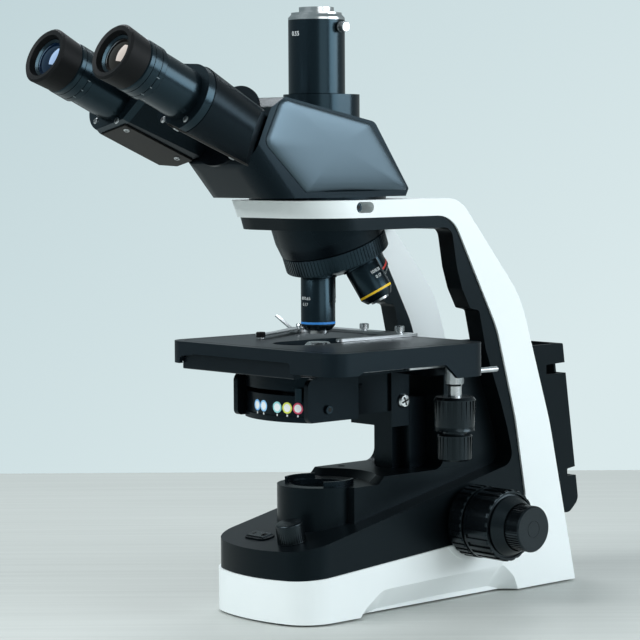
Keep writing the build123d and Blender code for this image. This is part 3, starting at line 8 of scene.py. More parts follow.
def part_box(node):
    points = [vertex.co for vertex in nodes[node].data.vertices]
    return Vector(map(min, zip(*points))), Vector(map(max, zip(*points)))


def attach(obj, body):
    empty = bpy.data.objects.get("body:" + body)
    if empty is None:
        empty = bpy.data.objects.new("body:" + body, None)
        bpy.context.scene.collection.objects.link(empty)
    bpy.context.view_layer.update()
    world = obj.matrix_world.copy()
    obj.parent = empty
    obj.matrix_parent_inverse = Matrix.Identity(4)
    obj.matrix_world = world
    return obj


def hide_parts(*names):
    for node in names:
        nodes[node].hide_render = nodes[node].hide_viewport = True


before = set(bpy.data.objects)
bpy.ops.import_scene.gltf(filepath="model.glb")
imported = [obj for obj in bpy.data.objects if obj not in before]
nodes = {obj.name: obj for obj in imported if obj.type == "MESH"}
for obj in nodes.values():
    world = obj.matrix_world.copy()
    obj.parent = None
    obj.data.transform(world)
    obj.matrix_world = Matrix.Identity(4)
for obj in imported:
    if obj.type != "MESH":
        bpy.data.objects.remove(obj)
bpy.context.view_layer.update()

mm = 0.001


# Colour and shader helpers


def srgb(hex_colour, alpha=1.0):
    """A hex colour as seen on screen, turned into the linear values that shaders take."""
    digits = hex_colour.lstrip("#")
    seen = [int(digits[i : i + 2], 16) / 255 for i in (0, 2, 4)]
    linear = [c / 12.92 if c <= 0.04045 else ((c + 0.055) / 1.055) ** 2.4 for c in seen]
    return (*linear, alpha)


def add_node(tree, kind, settings=None, values=None, links=None):
    """One node with its settings, its socket values and the sockets that feed it."""
    node = tree.nodes.new(kind)
    for name, value in (settings or {}).items():
        setattr(node, name, value)
    for name, value in (values or {}).items():
        node.inputs[name].default_value = value
    for name, source in (links or {}).items():
        tree.links.new(source, node.inputs[name])
    return node


def finish_of(name, values, grain=None, cast=None):
    """A surface from its shader values, with an optional relief (size and depth in mm) and colour drift."""
    material = bpy.data.materials.new(name)
    material.use_nodes = True
    tree = material.node_tree
    shader = tree.nodes["Principled BSDF"]
    for key, value in values.items():
        shader.inputs[key].default_value = value
    place = add_node(tree, "ShaderNodeTexCoord").outputs["Object"]
    if grain:
        size, depth = grain
        noise = add_node(
            tree,
            "ShaderNodeTexNoise",
            values={"Scale": 1 / (size * mm), "Detail": 3.0, "Roughness": 0.6},
            links={"Vector": place},
        )
        bump = add_node(
            tree,
            "ShaderNodeBump",
            values={"Strength": 0.9, "Distance": depth * mm},
            links={"Height": noise.outputs["Fac"]},
        )
        tree.links.new(bump.outputs["Normal"], shader.inputs["Normal"])
    if cast:
        dark, light, size = cast
        cloud = add_node(
            tree,
            "ShaderNodeTexNoise",
            values={"Scale": 1 / (size * mm), "Detail": 2.0},
            links={"Vector": place},
        )
        ramp = add_node(tree, "ShaderNodeValToRGB", links={"Fac": cloud.outputs["Fac"]})
        ramp.color_ramp.elements[0].color = srgb(dark)
        ramp.color_ramp.elements[1].color = srgb(light)
        tree.links.new(ramp.outputs["Color"], shader.inputs["Base Color"])
    return material


# Finishes, each from what the real one is made of


def white_powder_coat():
    """Powder-coated aluminium: even cool white with a soft sheen and a very fine pebble."""
    return finish_of(
        "white_powder_coat",
        {"Roughness": 0.42, "Specular IOR Level": 0.5, "IOR": 1.5},
        grain=(0.7, 0.010),
        cast=("#E4EAEA", "#E9EEEE", 60),
    )


def black_moulded_abs():
    """Injection-moulded ABS with a spark-eroded skin: deep black that breaks highlights into a fine grain."""
    return finish_of(
        "black_moulded_abs",
        {"Roughness": 0.34, "Specular IOR Level": 0.16, "Specular Tint": srgb("#B8E0F2"), "IOR": 1.53},
        grain=(0.55, 0.014),
        cast=("#05080A", "#080C0F", 40),
    )


def black_moulded_knob():
    """Polished moulding of the hand knobs: black with thin bright lines along the ribs."""
    return finish_of(
        "black_moulded_knob",
        {"Roughness": 0.26, "Specular IOR Level": 0.4, "Specular Tint": srgb("#C8E2EE"), "IOR": 1.53},
        grain=(0.5, 0.004),
        cast=("#06090B", "#090D10", 40),
    )


def black_stoved_enamel():
    """Stoved enamel on a casting: smooth satin black."""
    return finish_of(
        "black_stoved_enamel",
        {"Roughness": 0.27, "Specular IOR Level": 0.2, "Specular Tint": srgb("#A8D8F0"), "IOR": 1.5},
        grain=(0.5, 0.006),
        cast=("#06090C", "#0A0E12", 50),
    )


def black_anodised_aluminium():
    """Turned and black-anodised aluminium: satin, a little metallic at the edges."""
    return finish_of(
        "black_anodised_aluminium",
        {
            "Base Color": srgb("#0A1014"),
            "Roughness": 0.24,
            "Specular IOR Level": 0.5,
            "Specular Tint": srgb("#A8D8F0"),
        },
    )


def stage_coating():
    """Hard ceramic paint on a machined plate: dark blue-grey satin."""
    return finish_of(
        "stage_coating",
        {"Roughness": 0.36, "Specular IOR Level": 0.2, "Specular Tint": srgb("#B8E0F2"), "IOR": 1.5},
        grain=(0.5, 0.008),
        cast=("#0B1116", "#10171C", 45),
    )


def grey_sheet_cover():
    """Painted pressed sheet under the eyepiece wings: matt brown-grey."""
    return finish_of(
        "grey_sheet_cover",
        {"Base Color": srgb("#201F1D"), "Roughness": 0.5, "Specular IOR Level": 0.3, "IOR": 1.5},
        grain=(0.5, 0.01),
    )


def stainless_steel():
    """Ground stainless steel: grey metal with a soft reflection."""
    return finish_of(
        "stainless_steel",
        {"Base Color": srgb("#B9BDBF"), "Metallic": 1.0, "Roughness": 0.28},
    )


def satin_chrome():
    """Satin chrome plate over turned brass: bright cool metal."""
    return finish_of(
        "satin_chrome",
        {"Base Color": srgb("#D3D7D9"), "Metallic": 1.0, "Roughness": 0.22},
    )


def zinc_sheet():
    """Zinc-plated steel sheet under the base: dull light metal."""
    return finish_of(
        "zinc_sheet",
        {"Metallic": 1.0, "Roughness": 0.45},
        cast=("#9DA1A3", "#B4B8BA", 12),
    )


def nitrile_rubber():
    """Moulded nitrile rubber: matt black with no highlight."""
    return finish_of(
        "nitrile_rubber",
        {"Base Color": srgb("#07090B"), "Roughness": 0.55, "Specular IOR Level": 0.15, "IOR": 1.52},
        grain=(0.6, 0.015),
    )


def coated_optical_glass(name, body, coat):
    """Polished crown glass with an anti-reflection coat, dark because the tube behind it is black."""
    return finish_of(
        name,
        {
            "Base Color": srgb(body),
            "Roughness": 0.03,
            "IOR": 1.52,
            "Specular IOR Level": 0.8,
            "Specular Tint": srgb(coat),
            "Coat Weight": 1.0,
            "Coat Roughness": 0.02,
            "Coat Tint": srgb(coat),
        },
    )


def blue_coated_glass():
    """Left eye lens: its coat reflects blue."""
    return coated_optical_glass("blue_coated_glass", "#071824", "#8CC8F0")


def amber_coated_glass():
    """Right eye lens: its coat reflects a warm grey."""
    return coated_optical_glass("amber_coated_glass", "#0E0F11", "#E8D9CC")


def ground_field_glass():
    """Ground diffusing glass over the lamp: milky and smooth."""
    return finish_of(
        "ground_field_glass",
        {"Base Color": srgb("#C9D6DA"), "Roughness": 0.12, "IOR": 1.5},
    )


def bare_cast_aluminium():
    """Bare aluminium heat sink: light grey, rough metal."""
    return finish_of(
        "bare_cast_aluminium",
        {"Base Color": srgb("#A5A8AA"), "Metallic": 1.0, "Roughness": 0.5},
    )


def black_panel_painted_sheen():
    """Smooth moulded side panel of the head: satin black that takes one broad reflection, its colour lifted a
    little above the other black mouldings as painted sheen.
    """
    return finish_of(
        "black_panel_painted_sheen",
        {"Roughness": 0.36, "Specular IOR Level": 1.0, "Specular Tint": srgb("#C4E6FA"), "IOR": 1.6},
        grain=(0.6, 0.010),
        # Painted sheen: these blacks are lighter than the other moulded blacks so that the panel reads
        # brighter.
        cast=("#0C1216", "#11181C", 40),
    )


# CAD nodes, dressed in their finishes

dress = {
    white_powder_coat: ["arch_shell", "base_shell"],
    black_moulded_abs: ["base_cover", "arm_lining", "cord_winder", "power_inlet"],
    black_moulded_knob: [
        "tension_collar",
        "coarse_knob_right",
        "coarse_knob_left",
        "fine_knob_right",
        "fine_knob_left",
        "stage_x_knob",
        "stage_y_knob",
        "brightness_knob",
        "power_rocker",
    ],
    black_panel_painted_sheen: ["head_side_panels"],
    black_stoved_enamel: [
        "head_body",
        "wing_right",
        "wing_left",
        "nosepiece_housing",
        "stage_carrier",
        "stage_frame",
        "stage_front_bar",
        "condenser_body",
        "focus_post",
        "filter_ring",
    ],
    black_anodised_aluminium: [
        "nosepiece_turret",
        "objective_40x",
        "objective_10x",
        "objective_4x",
        "objective_100x",
        "phototube_collar",
        "photo_tube",
        "hinge_spindle",
        "wing_plate_right",
        "wing_plate_left",
        "eyepiece_tube_right",
        "eyepiece_tube_left",
        "dioptre_ring_right",
        "dioptre_ring_left",
        "iris_lever",
    ],
    stage_coating: ["stage_plate"],
    grey_sheet_cover: ["wing_cover_right", "wing_cover_left"],
    stainless_steel: ["guide_rod", "slide_holder", "slide_finger"],
    satin_chrome: ["y_drive_sleeve", "holder_screws", "condenser_lens", "camera_adapter", "tube_thumb_screw"],
    zinc_sheet: ["bottom_plate"],
    nitrile_rubber: ["rubber_feet", "eyecup_right", "eyecup_left"],
    amber_coated_glass: ["eye_lens_right"],
    blue_coated_glass: ["eye_lens_left"],
    ground_field_glass: ["field_lens"],
    bare_cast_aluminium: ["led_lamp"],
}


def round_shading(node, angle):
    """Merges the loose triangles and keeps only the edges sharper than angle."""
    weld = node.modifiers.new("weld", "WELD")
    weld.merge_threshold = 0.002 * mm
    split = node.modifiers.new("sharp_edges", "EDGE_SPLIT")
    split.split_angle = math.radians(angle)
    node.data.polygons.foreach_set("use_smooth", [True] * len(node.data.polygons))


finishes = {}
for make, names in dress.items():
    surface = make()
    finishes[make.__name__] = surface
    for name in names:
        nodes[name].data.materials.clear()
        nodes[name].data.materials.append(surface)
        round_shading(nodes[name], 32)


# Small fittings that are too fine for the solids

eye_tilt = math.radians(25)
nose_tilt = math.radians(21)
towards_eye = Vector((0, -math.cos(eye_tilt), math.sin(eye_tilt)))
eye_up = Vector((0, math.sin(eye_tilt), math.cos(eye_tilt)))
turret_axis = Vector((0, math.sin(nose_tilt), -math.cos(nose_tilt)))
apex_height = 309.0
apex = Vector((0, 0, apex_height)) * mm
eyecup_centre = Vector((37.8, -215, 402.7)) * mm
up = Vector((0, 0, 1))


def recess_painted_shade_finish():
    """Painted shade: a near-black colour that stands for the shadow in a tool recess or a fine groove."""
    return finish_of("recess_painted_shade", {"Base Color": srgb("#050606"), "Roughness": 0.8}, grain=(0.5, 0.01))


def printed_ink(name, colour):
    """Screen-printed ink: flat, matt and a little grainy."""
    return finish_of(name, {"Base Color": srgb(colour), "Roughness": 0.55}, grain=(0.25, 0.004))


# Painted shade for the screw recesses and the stage's border groove.
recess_painted_shade = recess_painted_shade_finish()
inks = {
    name: printed_ink(name + "_ink", colour)
    for name, colour in {
        "white": "#E6EAEA",
        "grey": "#7F8B90",
        "blue": "#2E86D6",
        "yellow": "#F0C21A",
        "red": "#C9362C",
        "pale_blue": "#7DB4E4",
        "sky": "#8FC3EA",
        "teal": "#8FCFD0",
        "lime": "#D3DB5A",
        "crimson": "#C8415F",
    }.items()
}
black_metal = finishes["black_anodised_aluminium"]
bright_metal = finishes["satin_chrome"]
ground_steel = finishes["stainless_steel"]


def turned(profile, steps=48, closed=False):
    """A lathe-turned shape about +Z from (radius, height) points in mm."""
    shape = bmesh.new()
    points = [shape.verts.new((radius * mm, 0, height * mm)) for radius, height in profile]
    ends = points[1:] + points[:1] if closed else points[1:]
    edges = [shape.edges.new(pair) for pair in zip(points, ends)]
    bmesh.ops.spin(
        shape,
        geom=points + edges,
        cent=(0, 0, 0),
        axis=(0, 0, 1),
        angle=math.tau,
        steps=steps,
        use_merge=True,
    )
    bmesh.ops.remove_doubles(shape, verts=shape.verts, dist=0.0005 * mm)
    bmesh.ops.recalc_face_normals(shape, faces=shape.faces)
    return shape


def block(size, middle=(0, 0, 0), soft=0.0):
    """A rectangular block in mm with its edges eased by soft."""
    shape = bmesh.new()
    bmesh.ops.create_cube(shape, size=1)
    bmesh.ops.scale(shape, vec=Vector(size) * mm, verts=shape.verts)
    bmesh.ops.translate(shape, vec=Vector(middle) * mm, verts=shape.verts)
    if soft:
        bmesh.ops.bevel(
            shape, geom=shape.edges, offset=soft * mm, segments=2, profile=0.5, affect="EDGES", material=-1
        )
    return shape


def facing(place, axis, spin=0.0):
    """The matrix that stands a shape on place with its +Z along axis, after a turn of spin degrees."""
    lift = Vector(axis).to_track_quat("Z", "Y").to_matrix().to_4x4()
    return Matrix.Translation(place) @ lift @ Matrix.Rotation(math.radians(spin), 4, "Z")


def fit(name, body, slot, shape, matrix, *surfaces):
    """Places a finished shape and makes it a piece that rides on a CAD body."""
    bmesh.ops.transform(shape, matrix=matrix, verts=shape.verts)
    mesh = bpy.data.meshes.new(name)
    shape.to_mesh(mesh)
    shape.free()
    for surface in surfaces:
        mesh.materials.append(surface)
    mesh.shade_smooth()
    mesh.set_sharp_from_angle(angle=math.radians(35))
    piece = bpy.data.objects.new(name, mesh)
    bpy.context.scene.collection.objects.link(piece)
    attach(piece, body)
    return piece


def joined(*shapes, surfaces=None):
    """Several shapes as one; surfaces gives the material number of each."""
    whole = bmesh.new()
    for number, shape in enumerate(shapes):
        for face in shape.faces:
            face.material_index = surfaces[number] if surfaces else 0
        part = bpy.data.meshes.new("part")
        shape.to_mesh(part)
        shape.free()
        whole.from_mesh(part)
        bpy.data.meshes.remove(part)
    return whole


def crosshead(radius, height):
    """Pan-head screw with a cross recess; its second surface is a solid cross through the head that carries
    the painted shade of the recess.
    """
    head = turned(
        [(0, 0), (radius, 0), (radius, height * 0.45), (radius * 0.8, height * 0.85), (0, height)], 32
    )
    arm = radius * 0.62
    slot = radius * 0.2
    bars = [
        block((2 * arm, slot, height * 0.3), (0, 0, height * 0.88)),
        block((slot, 2 * arm, height * 0.3), (0, 0, height * 0.88)),
    ]
    return joined(head, *bars, surfaces=(0, 1, 1))


def socket_screw(radius, height):
    """Socket head screw with a hexagon recess; its second surface is a solid hexagon just proud of the head
    that carries the painted shade of the recess.
    """
    head = turned(
        [
            (0, 0), (radius, 0), (radius, height - 0.4), (radius - 0.4, height), (radius * 0.5, height),
            (0, height),
        ],
        32,
    )
    floor, mouth, reach = height - 0.5, height + 0.02, radius * 0.5
    recess = turned([(0, floor), (reach, floor), (reach, mouth), (0, mouth)], 6)
    return joined(head, recess, surfaces=(0, 1))


def lettering(words, height, depth=0.05):
    """Raised print in mm, flat on the XY plane and centred, as a shape."""
    text = bpy.data.curves.new("print", "FONT")
    text.body = words
    text.size = height * mm
    text.align_x = "CENTER"
    text.align_y = "CENTER"
    text.extrude = depth * mm
    holder = bpy.data.objects.new("print", text)
    flat = bpy.data.meshes.new_from_object(holder)
    shape = bmesh.new()
    shape.from_mesh(flat)
    bpy.data.objects.remove(holder)
    bpy.data.curves.remove(text)
    bpy.data.meshes.remove(flat)
    bmesh.ops.remove_doubles(shape, verts=shape.verts, dist=0.0005 * mm)
    return shape


def wrap(shape, radius, height=0.0):
    """Bends a flat shape round a tube about +Z, so that its middle faces -Y at height; its +Y runs up."""
    for point in shape.verts:
        x, y, z = point.co
        angle = x / (radius * mm)
        reach = radius * mm + z
        point.co = Vector((math.sin(angle) * reach, -math.cos(angle) * reach, y + height * mm))
    return shape


# Screws and their recesses

fit(
    "carrier_screw", "lift", "silver", crosshead(5.3, 3.0),
    facing(Vector((19.3, 67.5, 150)) * mm, (1, 0, 0), 20), bright_metal, recess_painted_shade,
)
fit(
    "condenser_set_screw", "condenser", "black_metal", socket_screw(3.4, 2.2),
    facing(Vector((36.4, -24, 151.8)) * mm, (1, 0, 0)), black_metal, recess_painted_shade,
)
fit(
    "head_clamp_screw", "stand", "black_metal", socket_screw(3.5, 9.0),
    facing(Vector((43.5, -8.0, 296.3)) * mm, (1, 0, 0)), black_metal, recess_painted_shade,
)

wings = {"right": ("wing_r", 1), "left": ("wing_l", -1)}
hang = math.atan(11.2 / 37.8)
plate_front = 66.0     # distances in mm behind the eyecups
cover_start = 72.0
cover_end = 137.0


def on_wing(side, back, out, rise):
    """Point back behind the eyecups, out from an eyepiece axis and rise above it, in mm."""
    at = eyecup_centre - towards_eye * (back * mm) + Vector((out * mm, 0, 0)) + eye_up * (rise * mm)
    return Vector((at.x * side, at.y, at.z))


for label, (body, side) in wings.items():
    for number, out in enumerate((-12.0, 12.0)):
        fit(
            f"wing_plate_screw_{label}_{number}", body, "steel", crosshead(2.3, 1.1),
            facing(on_wing(side, plate_front + 0.2, out, -18.3), towards_eye, 30 * number),
            ground_steel, recess_painted_shade,
        )
    for number, (back, out) in enumerate(((77.5, -4.3), (128.0, -2.3))):
        floor = -22.5 + 3.1 * (back - cover_start) / (cover_end - cover_start)
        across = out * math.cos(hang) + floor * math.sin(hang)
        rise = -out * math.sin(hang) + floor * math.cos(hang)
        down = -(Vector((side * math.sin(hang), 0, 0)) + eye_up * math.cos(hang))
        fit(
            f"wing_cover_screw_{label}_{number}", body, "steel", crosshead(2.2, 0.9),
            facing(on_wing(side, back, across, rise), down, 40 * number), ground_steel, recess_painted_shade,
        )

# Objectives: colour ring, printed numbers, steel nose and front lens

front_lens_glass = coated_optical_glass("front_lens_glass", "#10202A", "#A9D4F0")
objectives = {
    # turn on the nosepiece, ink, ring distance, nose (radius, start, end), printed lines
    "40x": (0, "blue", 97.6, (8.2, 7.6, 103.0, 105.4), ("40/0.65", "0.17")),
    "10x": (90, "yellow", 86.0, (7.0, 6.6, 91.8, 93.4), ("10/0.25", "0.17")),
    "4x": (180, "red", 80.4, (8.4, 8.4, 86.4, 88.4), ("4/0.10", "0.17")),
    "100x": (270, "white", 94.4, (5.6, 4.6, 103.4, 108.8), ("100/1.25", "0.17")),
}
tube_radius = 12.6
for label, (turn, ink, ring, (wide, narrow, start, end), lines) in objectives.items():
    place = (
        Matrix.Translation(apex)
        @ Matrix.Rotation(math.radians(-turn), 4, turret_axis)
        @ Matrix.Translation(-apex)
    )
    high, low = apex_height - ring + 0.8, apex_height - ring - 0.8
    inside, outside = tube_radius - 0.3, tube_radius + 0.07
    band = turned([(inside, low), (outside, low), (outside, high), (inside, high)], 64, closed=True)
    fit(f"colour_ring_{label}", "nosepiece", "black_metal", band, place, inks[ink])
    top, tip = apex_height - start, apex_height - end
    nose = turned(
        [
            (wide - 1.5, top - 0.03), (wide + 0.1, top - 0.03), (narrow + 0.1, tip),
            (narrow - 0.7, tip - 0.08), (narrow * 0.55, tip - 0.08), (narrow * 0.5, tip + 0.4),
            (wide * 0.4, top - 0.3),
        ],
        48, closed=True,
    )
    fit(f"objective_nose_{label}", "nosepiece", "steel", nose, place, ground_steel)
    front = turned(
        [(0, tip - 0.05), (narrow * 0.4, tip - 0.07), (narrow * 0.54, tip - 0.02), (0, tip + 0.3)], 32
    )
    fit(f"front_lens_{label}", "nosepiece", "lens_glass", front, place, front_lens_glass)
    rows = [
        wrap(lettering(line, 3.2), tube_radius + 0.02, apex_height - ring + 18.0 - 4.4 * row)
        for row, line in enumerate(lines)
    ]
    if ring < 90:
        for row in rows:
            bmesh.ops.translate(row, vec=Vector((0, 0, -4.5)) * mm, verts=row.verts)
    fit(f"objective_print_{label}", "nosepiece", "black_metal", joined(*rows), place, inks["white"])

# Photo tube: its factor in white

fit(
    "tube_print", "head", "black_metal", wrap(lettering("0.55", 4.6), 20.62, 421.0),
    Matrix.Identity(4), inks["white"],
)

# Focus knobs: the cone that joins each coarse knob to its fine knob

cone_length, cone_root = 9.0, 2.0
for side, label in ((1, "right"), (-1, "left")):
    low, high = (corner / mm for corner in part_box(f"coarse_knob_{label}"))
    fine_low, fine_high = (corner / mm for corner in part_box(f"fine_knob_{label}"))
    coarse_radius, fine_radius = (high.y - low.y) / 2, (fine_high.y - fine_low.y) / 2
    face = max(abs(low.x), abs(high.x))
    foot_radius, neck_radius = coarse_radius - 4.2, fine_radius + 0.7
    cone = turned(
        [
            (foot_radius, -cone_root), (foot_radius, 0.2), (foot_radius - 0.5, 0.8),
            (neck_radius + 0.4, cone_length - 0.5), (neck_radius, cone_length), (neck_radius, -cone_root),
        ],
        72, closed=True,
    )
    centre = Vector((side * face, (low.y + high.y) / 2, (low.z + high.z) / 2)) * mm
    fit(
        f"coarse_cone_{label}", "coarse", "knob_black", cone, facing(centre, (side, 0, 0)),
        finishes["black_moulded_knob"],
    )

# Head: the moulded cover on each side, crowned over the plate that it stands for

crown = (
    # share of the outline, rise in mm
    (1.0, 1.0), (0.985, 1.7), (0.955, 2.2), (0.90, 2.6), (0.80, 2.95), (0.62, 3.2), (0.36, 3.35), (0.12, 3.4),
)
plate_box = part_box("head_side_panels")
plate_middle = (plate_box[0] + plate_box[1]) / 2


def crowned_cover(side):
    """One side cover, from the plate's own outline drawn in step by step towards its middle."""
    shape = bmesh.new()
    shape.from_mesh(nodes["head_side_panels"].data)
    bmesh.ops.remove_doubles(shape, verts=shape.verts, dist=0.002 * mm)
    outer = side * plate_box[1].x
    spare = [face for face in shape.faces if abs(face.calc_center_median().x - outer) > 0.05 * mm]
    bmesh.ops.delete(shape, geom=spare, context="FACES")
    centre = Matrix.Translation(-Vector((0, plate_middle.y, plate_middle.z)))
    bmesh.ops.scale(shape, vec=(1, 1.035, 1.09), space=centre, verts=shape.verts)
    bmesh.ops.translate(shape, vec=Vector((-side * 1.0 * mm, 0, 0)), verts=shape.verts)
    rim = [edge for edge in shape.edges if edge.is_boundary]
    last_share, last_rise = 1.0, 0.0
    for share, rise in crown:
        grown = bmesh.ops.extrude_edge_only(shape, edges=rim)["geom"]
        rim = [item for item in grown if isinstance(item, bmesh.types.BMEdge)]
        points = [item for item in grown if isinstance(item, bmesh.types.BMVert)]
        drawn_in = share / last_share
        bmesh.ops.scale(shape, vec=(1, drawn_in, drawn_in), space=centre, verts=points)
        bmesh.ops.translate(shape, vec=Vector((side * (rise - last_rise) * mm, 0, 0)), verts=points)
        last_share, last_rise = share, rise
    bmesh.ops.edgeloop_fill(shape, edges=rim)
    bmesh.ops.recalc_face_normals(shape, faces=shape.faces)
    return shape


covers = fit(
    "side_covers", "head", "panel_grey", joined(crowned_cover(1), crowned_cover(-1)), Matrix.Identity(4),
    finishes["black_panel_painted_sheen"],
)
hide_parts("head_side_panels")

# Condenser: stop labels on the band, each a coloured ring with a white middle and a tick

band_middle = Vector((0, 20, 0)) * mm
band_radius = 68.5
labels = {"pale_blue": -14.0, "sky": -5.7, "teal": 8.7, "lime": 17.6, "crimson": 26.0}
for ink, across in labels.items():
    outward = Vector((across / band_radius, -math.sqrt(1 - (across / band_radius) ** 2), 0))
    spot = band_middle + outward * (band_radius * mm) + Vector((0, 0, 153.2)) * mm
    rim = turned([(0, -0.05), (4.1, -0.05), (4.1, 0.16), (0, 0.16)], 40)
    face = turned([(0, 0), (2.9, 0), (2.9, 0.2), (0, 0.2)], 40)
    tick = block((1.1, 2.6, 0.3), (0, -6.1, 0))
    fit(
        f"stop_label_{ink}", "condenser", "black_metal", joined(rim, face, tick, surfaces=(0, 1, 1)),
        facing(spot, outward), inks[ink], inks["white"],
    )

# Condenser: the closed ends of the iris slot

slot_end = (0.8, 24.0, 3.7)
for side, label in ((1, "right"), (-1, "left")):
    wall = block(slot_end, (side * 36.05, -23.8, 163.85))
    fit(
        f"slot_end_{label}", "condenser", "black_metal", wall, Matrix.Identity(4),
        finishes["black_stoved_enamel"],
    )

# Eyepieces: dioptre marks on each ring, an index on the tube and the ring that holds the lens

ring_radius = 19.2
mark_count, mark_pitch = 7, 24
lens_front, lens_sag, lens_reach = 2.6, 3.2, 12.0
for label, (body, side) in wings.items():
    along_tube = facing(on_wing(side, 0, 0, 0), -towards_eye)
    marks = [
        wrap(block((0.45, 1.6 if step % 2 else 2.4, 0.12)), ring_radius, 29.5)
        for step in range(mark_count)
    ]
    for step, mark in enumerate(marks):
        round_ring = Matrix.Rotation(math.radians(mark_pitch * (step - mark_count // 2)), 3, "Z")
        bmesh.ops.rotate(mark, verts=mark.verts, cent=(0, 0, 0), matrix=round_ring)
    fit(
        f"dioptre_marks_{label}", f"dioptre_{body[-1]}", "black_metal", joined(*marks), along_tube,
        inks["grey"],
    )
    index = wrap(block((0.5, 2.4, 0.12)), 17.9, 37.5)
    fit(f"dioptre_index_{label}", body, "black_metal", index, along_tube, inks["grey"])
    holder = turned([(11.9, 5.4), (13.75, 4.3), (13.75, 6.3), (12.2, 6.3)], 64, closed=True)
    fit(f"lens_ring_{label}", body, "black_metal", holder, along_tube, black_metal)
    bulge = [(lens_reach * step / 8, lens_front + lens_sag * (step / 8) ** 2) for step in range(9)]
    dome = turned(bulge + [(lens_reach, lens_front + lens_sag + 0.4), (0, lens_front + lens_sag + 0.4)], 64)
    glass = finishes["amber_coated_glass" if side > 0 else "blue_coated_glass"]
    fit(f"eye_lens_dome_{label}", body, "lens_glass", dome, along_tube, glass)

# Stage: painted shade of the border groove, depth rack and the finger's tip

stage_low, stage_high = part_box("stage_plate")
# Painted shade: a thin near-black band on the stage top where the step round its border is dark.
deck = bmesh.new()
bmesh.ops.create_cube(deck, size=1)
border_inset = 7.0 * mm
stage_size = stage_high - stage_low
spread = Vector((stage_size.x - 2 * border_inset, stage_size.y - 2 * border_inset, 0.1 * mm))
bmesh.ops.scale(deck, vec=spread, verts=deck.verts)
uprights = [edge for edge in deck.edges if abs(edge.verts[0].co.z - edge.verts[1].co.z) > 0.05 * mm]
bmesh.ops.bevel(
    deck, geom=uprights, offset=8 * mm, segments=6, profile=0.5, affect="EDGES", material=-1
)
flats = [face for face in deck.faces if abs(face.normal.z) > 0.9]
bmesh.ops.inset_region(deck, faces=flats, thickness=0.9 * mm, use_even_offset=True)
bmesh.ops.delete(deck, geom=flats, context="FACES")
middle_of_stage = Vector(
    ((stage_low.x + stage_high.x) / 2, (stage_low.y + stage_high.y) / 2, stage_high.z + 0.01 * mm)
)
fit("stage_border_groove_shade", "stage", "stage_metal", deck, Matrix.Translation(middle_of_stage), recess_painted_shade)

rack = block((6.4, 46.0, 3.6), (63.2, 52.0, 180.2), 0.3)
fit("depth_rack", "lift", "steel", rack, Matrix.Identity(4), ground_steel)
rack_rail = block((1.4, 44.0, 2.0), (60.7, 6.0, 180.0), 0.3)
fit("depth_rail", "lift", "steel", rack_rail, Matrix.Identity(4), ground_steel)
cap = turned([(0, 198.9), (3.5, 198.9), (3.5, 202.3), (3.0, 202.8), (0, 202.8)], 32)
finger_end = Matrix.Translation(Vector((-46, -16, 0)) * mm)
fit("finger_tip", "finger", "knob_black", cap, finger_end, finishes["nitrile_rubber"])

# Power rocker: moulded I and O

slope = math.atan(0.215)
rocker_top = Vector((0, -math.sin(slope), math.cos(slope)))
rocker_place = Vector((-14, -46, 66.7 - 0.215 * 46)) * mm + rocker_top * (2.0 * mm)
off_mark = turned([(1.5, -0.1), (2.2, -0.1), (2.2, 0.25), (1.5, 0.25)], 32, closed=True)
bmesh.ops.translate(off_mark, vec=Vector((5.4, 0, 0)) * mm, verts=off_mark.verts)
on_mark = block((0.8, 4.0, 0.5), (-5.4, 0, 0), 0.1)
fit(
    "rocker_marks", "rocker", "knob_black", joined(off_mark, on_mark), facing(rocker_place, rocker_top),
    finishes["nitrile_rubber"],
)

# Bottom plate screws

plate_low, plate_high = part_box("bottom_plate")
for number, (across, along) in enumerate(((-1, 0.12), (1, 0.12), (-1, 0.88), (1, 0.88))):
    back = plate_low.y + along * (plate_high.y - plate_low.y)
    at = Vector((across * (plate_high.x - 6 * mm), back, plate_low.z))
    fit(
        f"plate_screw_{number}", "stand", "steel", crosshead(3.0, 1.2), facing(at, -up, 25 * number),
        ground_steel, recess_painted_shade,
    )


# Table, light and camera


def flat_sheet(name, corners, surface):
    """A flat four-cornered sheet that belongs to the room."""
    mesh = bpy.data.meshes.new(name)
    shape = bmesh.new()
    shape.faces.new([shape.verts.new(corner) for corner in corners])
    shape.to_mesh(mesh)
    shape.free()
    sheet = bpy.data.objects.new(name, mesh)
    mesh.materials.append(surface)
    bpy.context.scene.collection.objects.link(sheet)
    return sheet


def table_laminate():
    """Pale ash laminate: a cool beige top with faint streaks that run along the table."""
    material = finish_of("table_laminate", {"Roughness": 0.5, "IOR": 1.5})
    tree = material.node_tree
    place = add_node(tree, "ShaderNodeTexCoord").outputs["Object"]
    streak_length, streak_width = 0.35, 0.008
    lined_up = add_node(
        tree,
        "ShaderNodeMapping",
        settings={"vector_type": "TEXTURE"},
        values={"Rotation": (0, 0, heading), "Scale": (streak_length, streak_width, 1)},
        links={"Vector": place},
    )
    grain = add_node(
        tree,
        "ShaderNodeTexNoise",
        values={"Scale": 1.0, "Detail": 4.0, "Roughness": 0.6},
        links={"Vector": lined_up.outputs["Vector"]},
    )
    ramp = add_node(tree, "ShaderNodeValToRGB", links={"Fac": grain.outputs["Fac"]})
    ramp.color_ramp.elements[0].position = 0.3
    ramp.color_ramp.elements[0].color = srgb("#B2B5B1")
    ramp.color_ramp.elements[1].position = 0.7
    ramp.color_ramp.elements[1].color = srgb("#BCBFBB")
    tree.links.new(ramp.outputs["Color"], tree.nodes["Principled BSDF"].inputs["Base Color"])
    return material


heading = math.radians(47.876)
pitch = math.radians(4.062)
roll = math.radians(-0.328)
eye = Vector((1.2845, -1.1598, 0.336))
picture_width = 640
focal_pixels = 2368.3

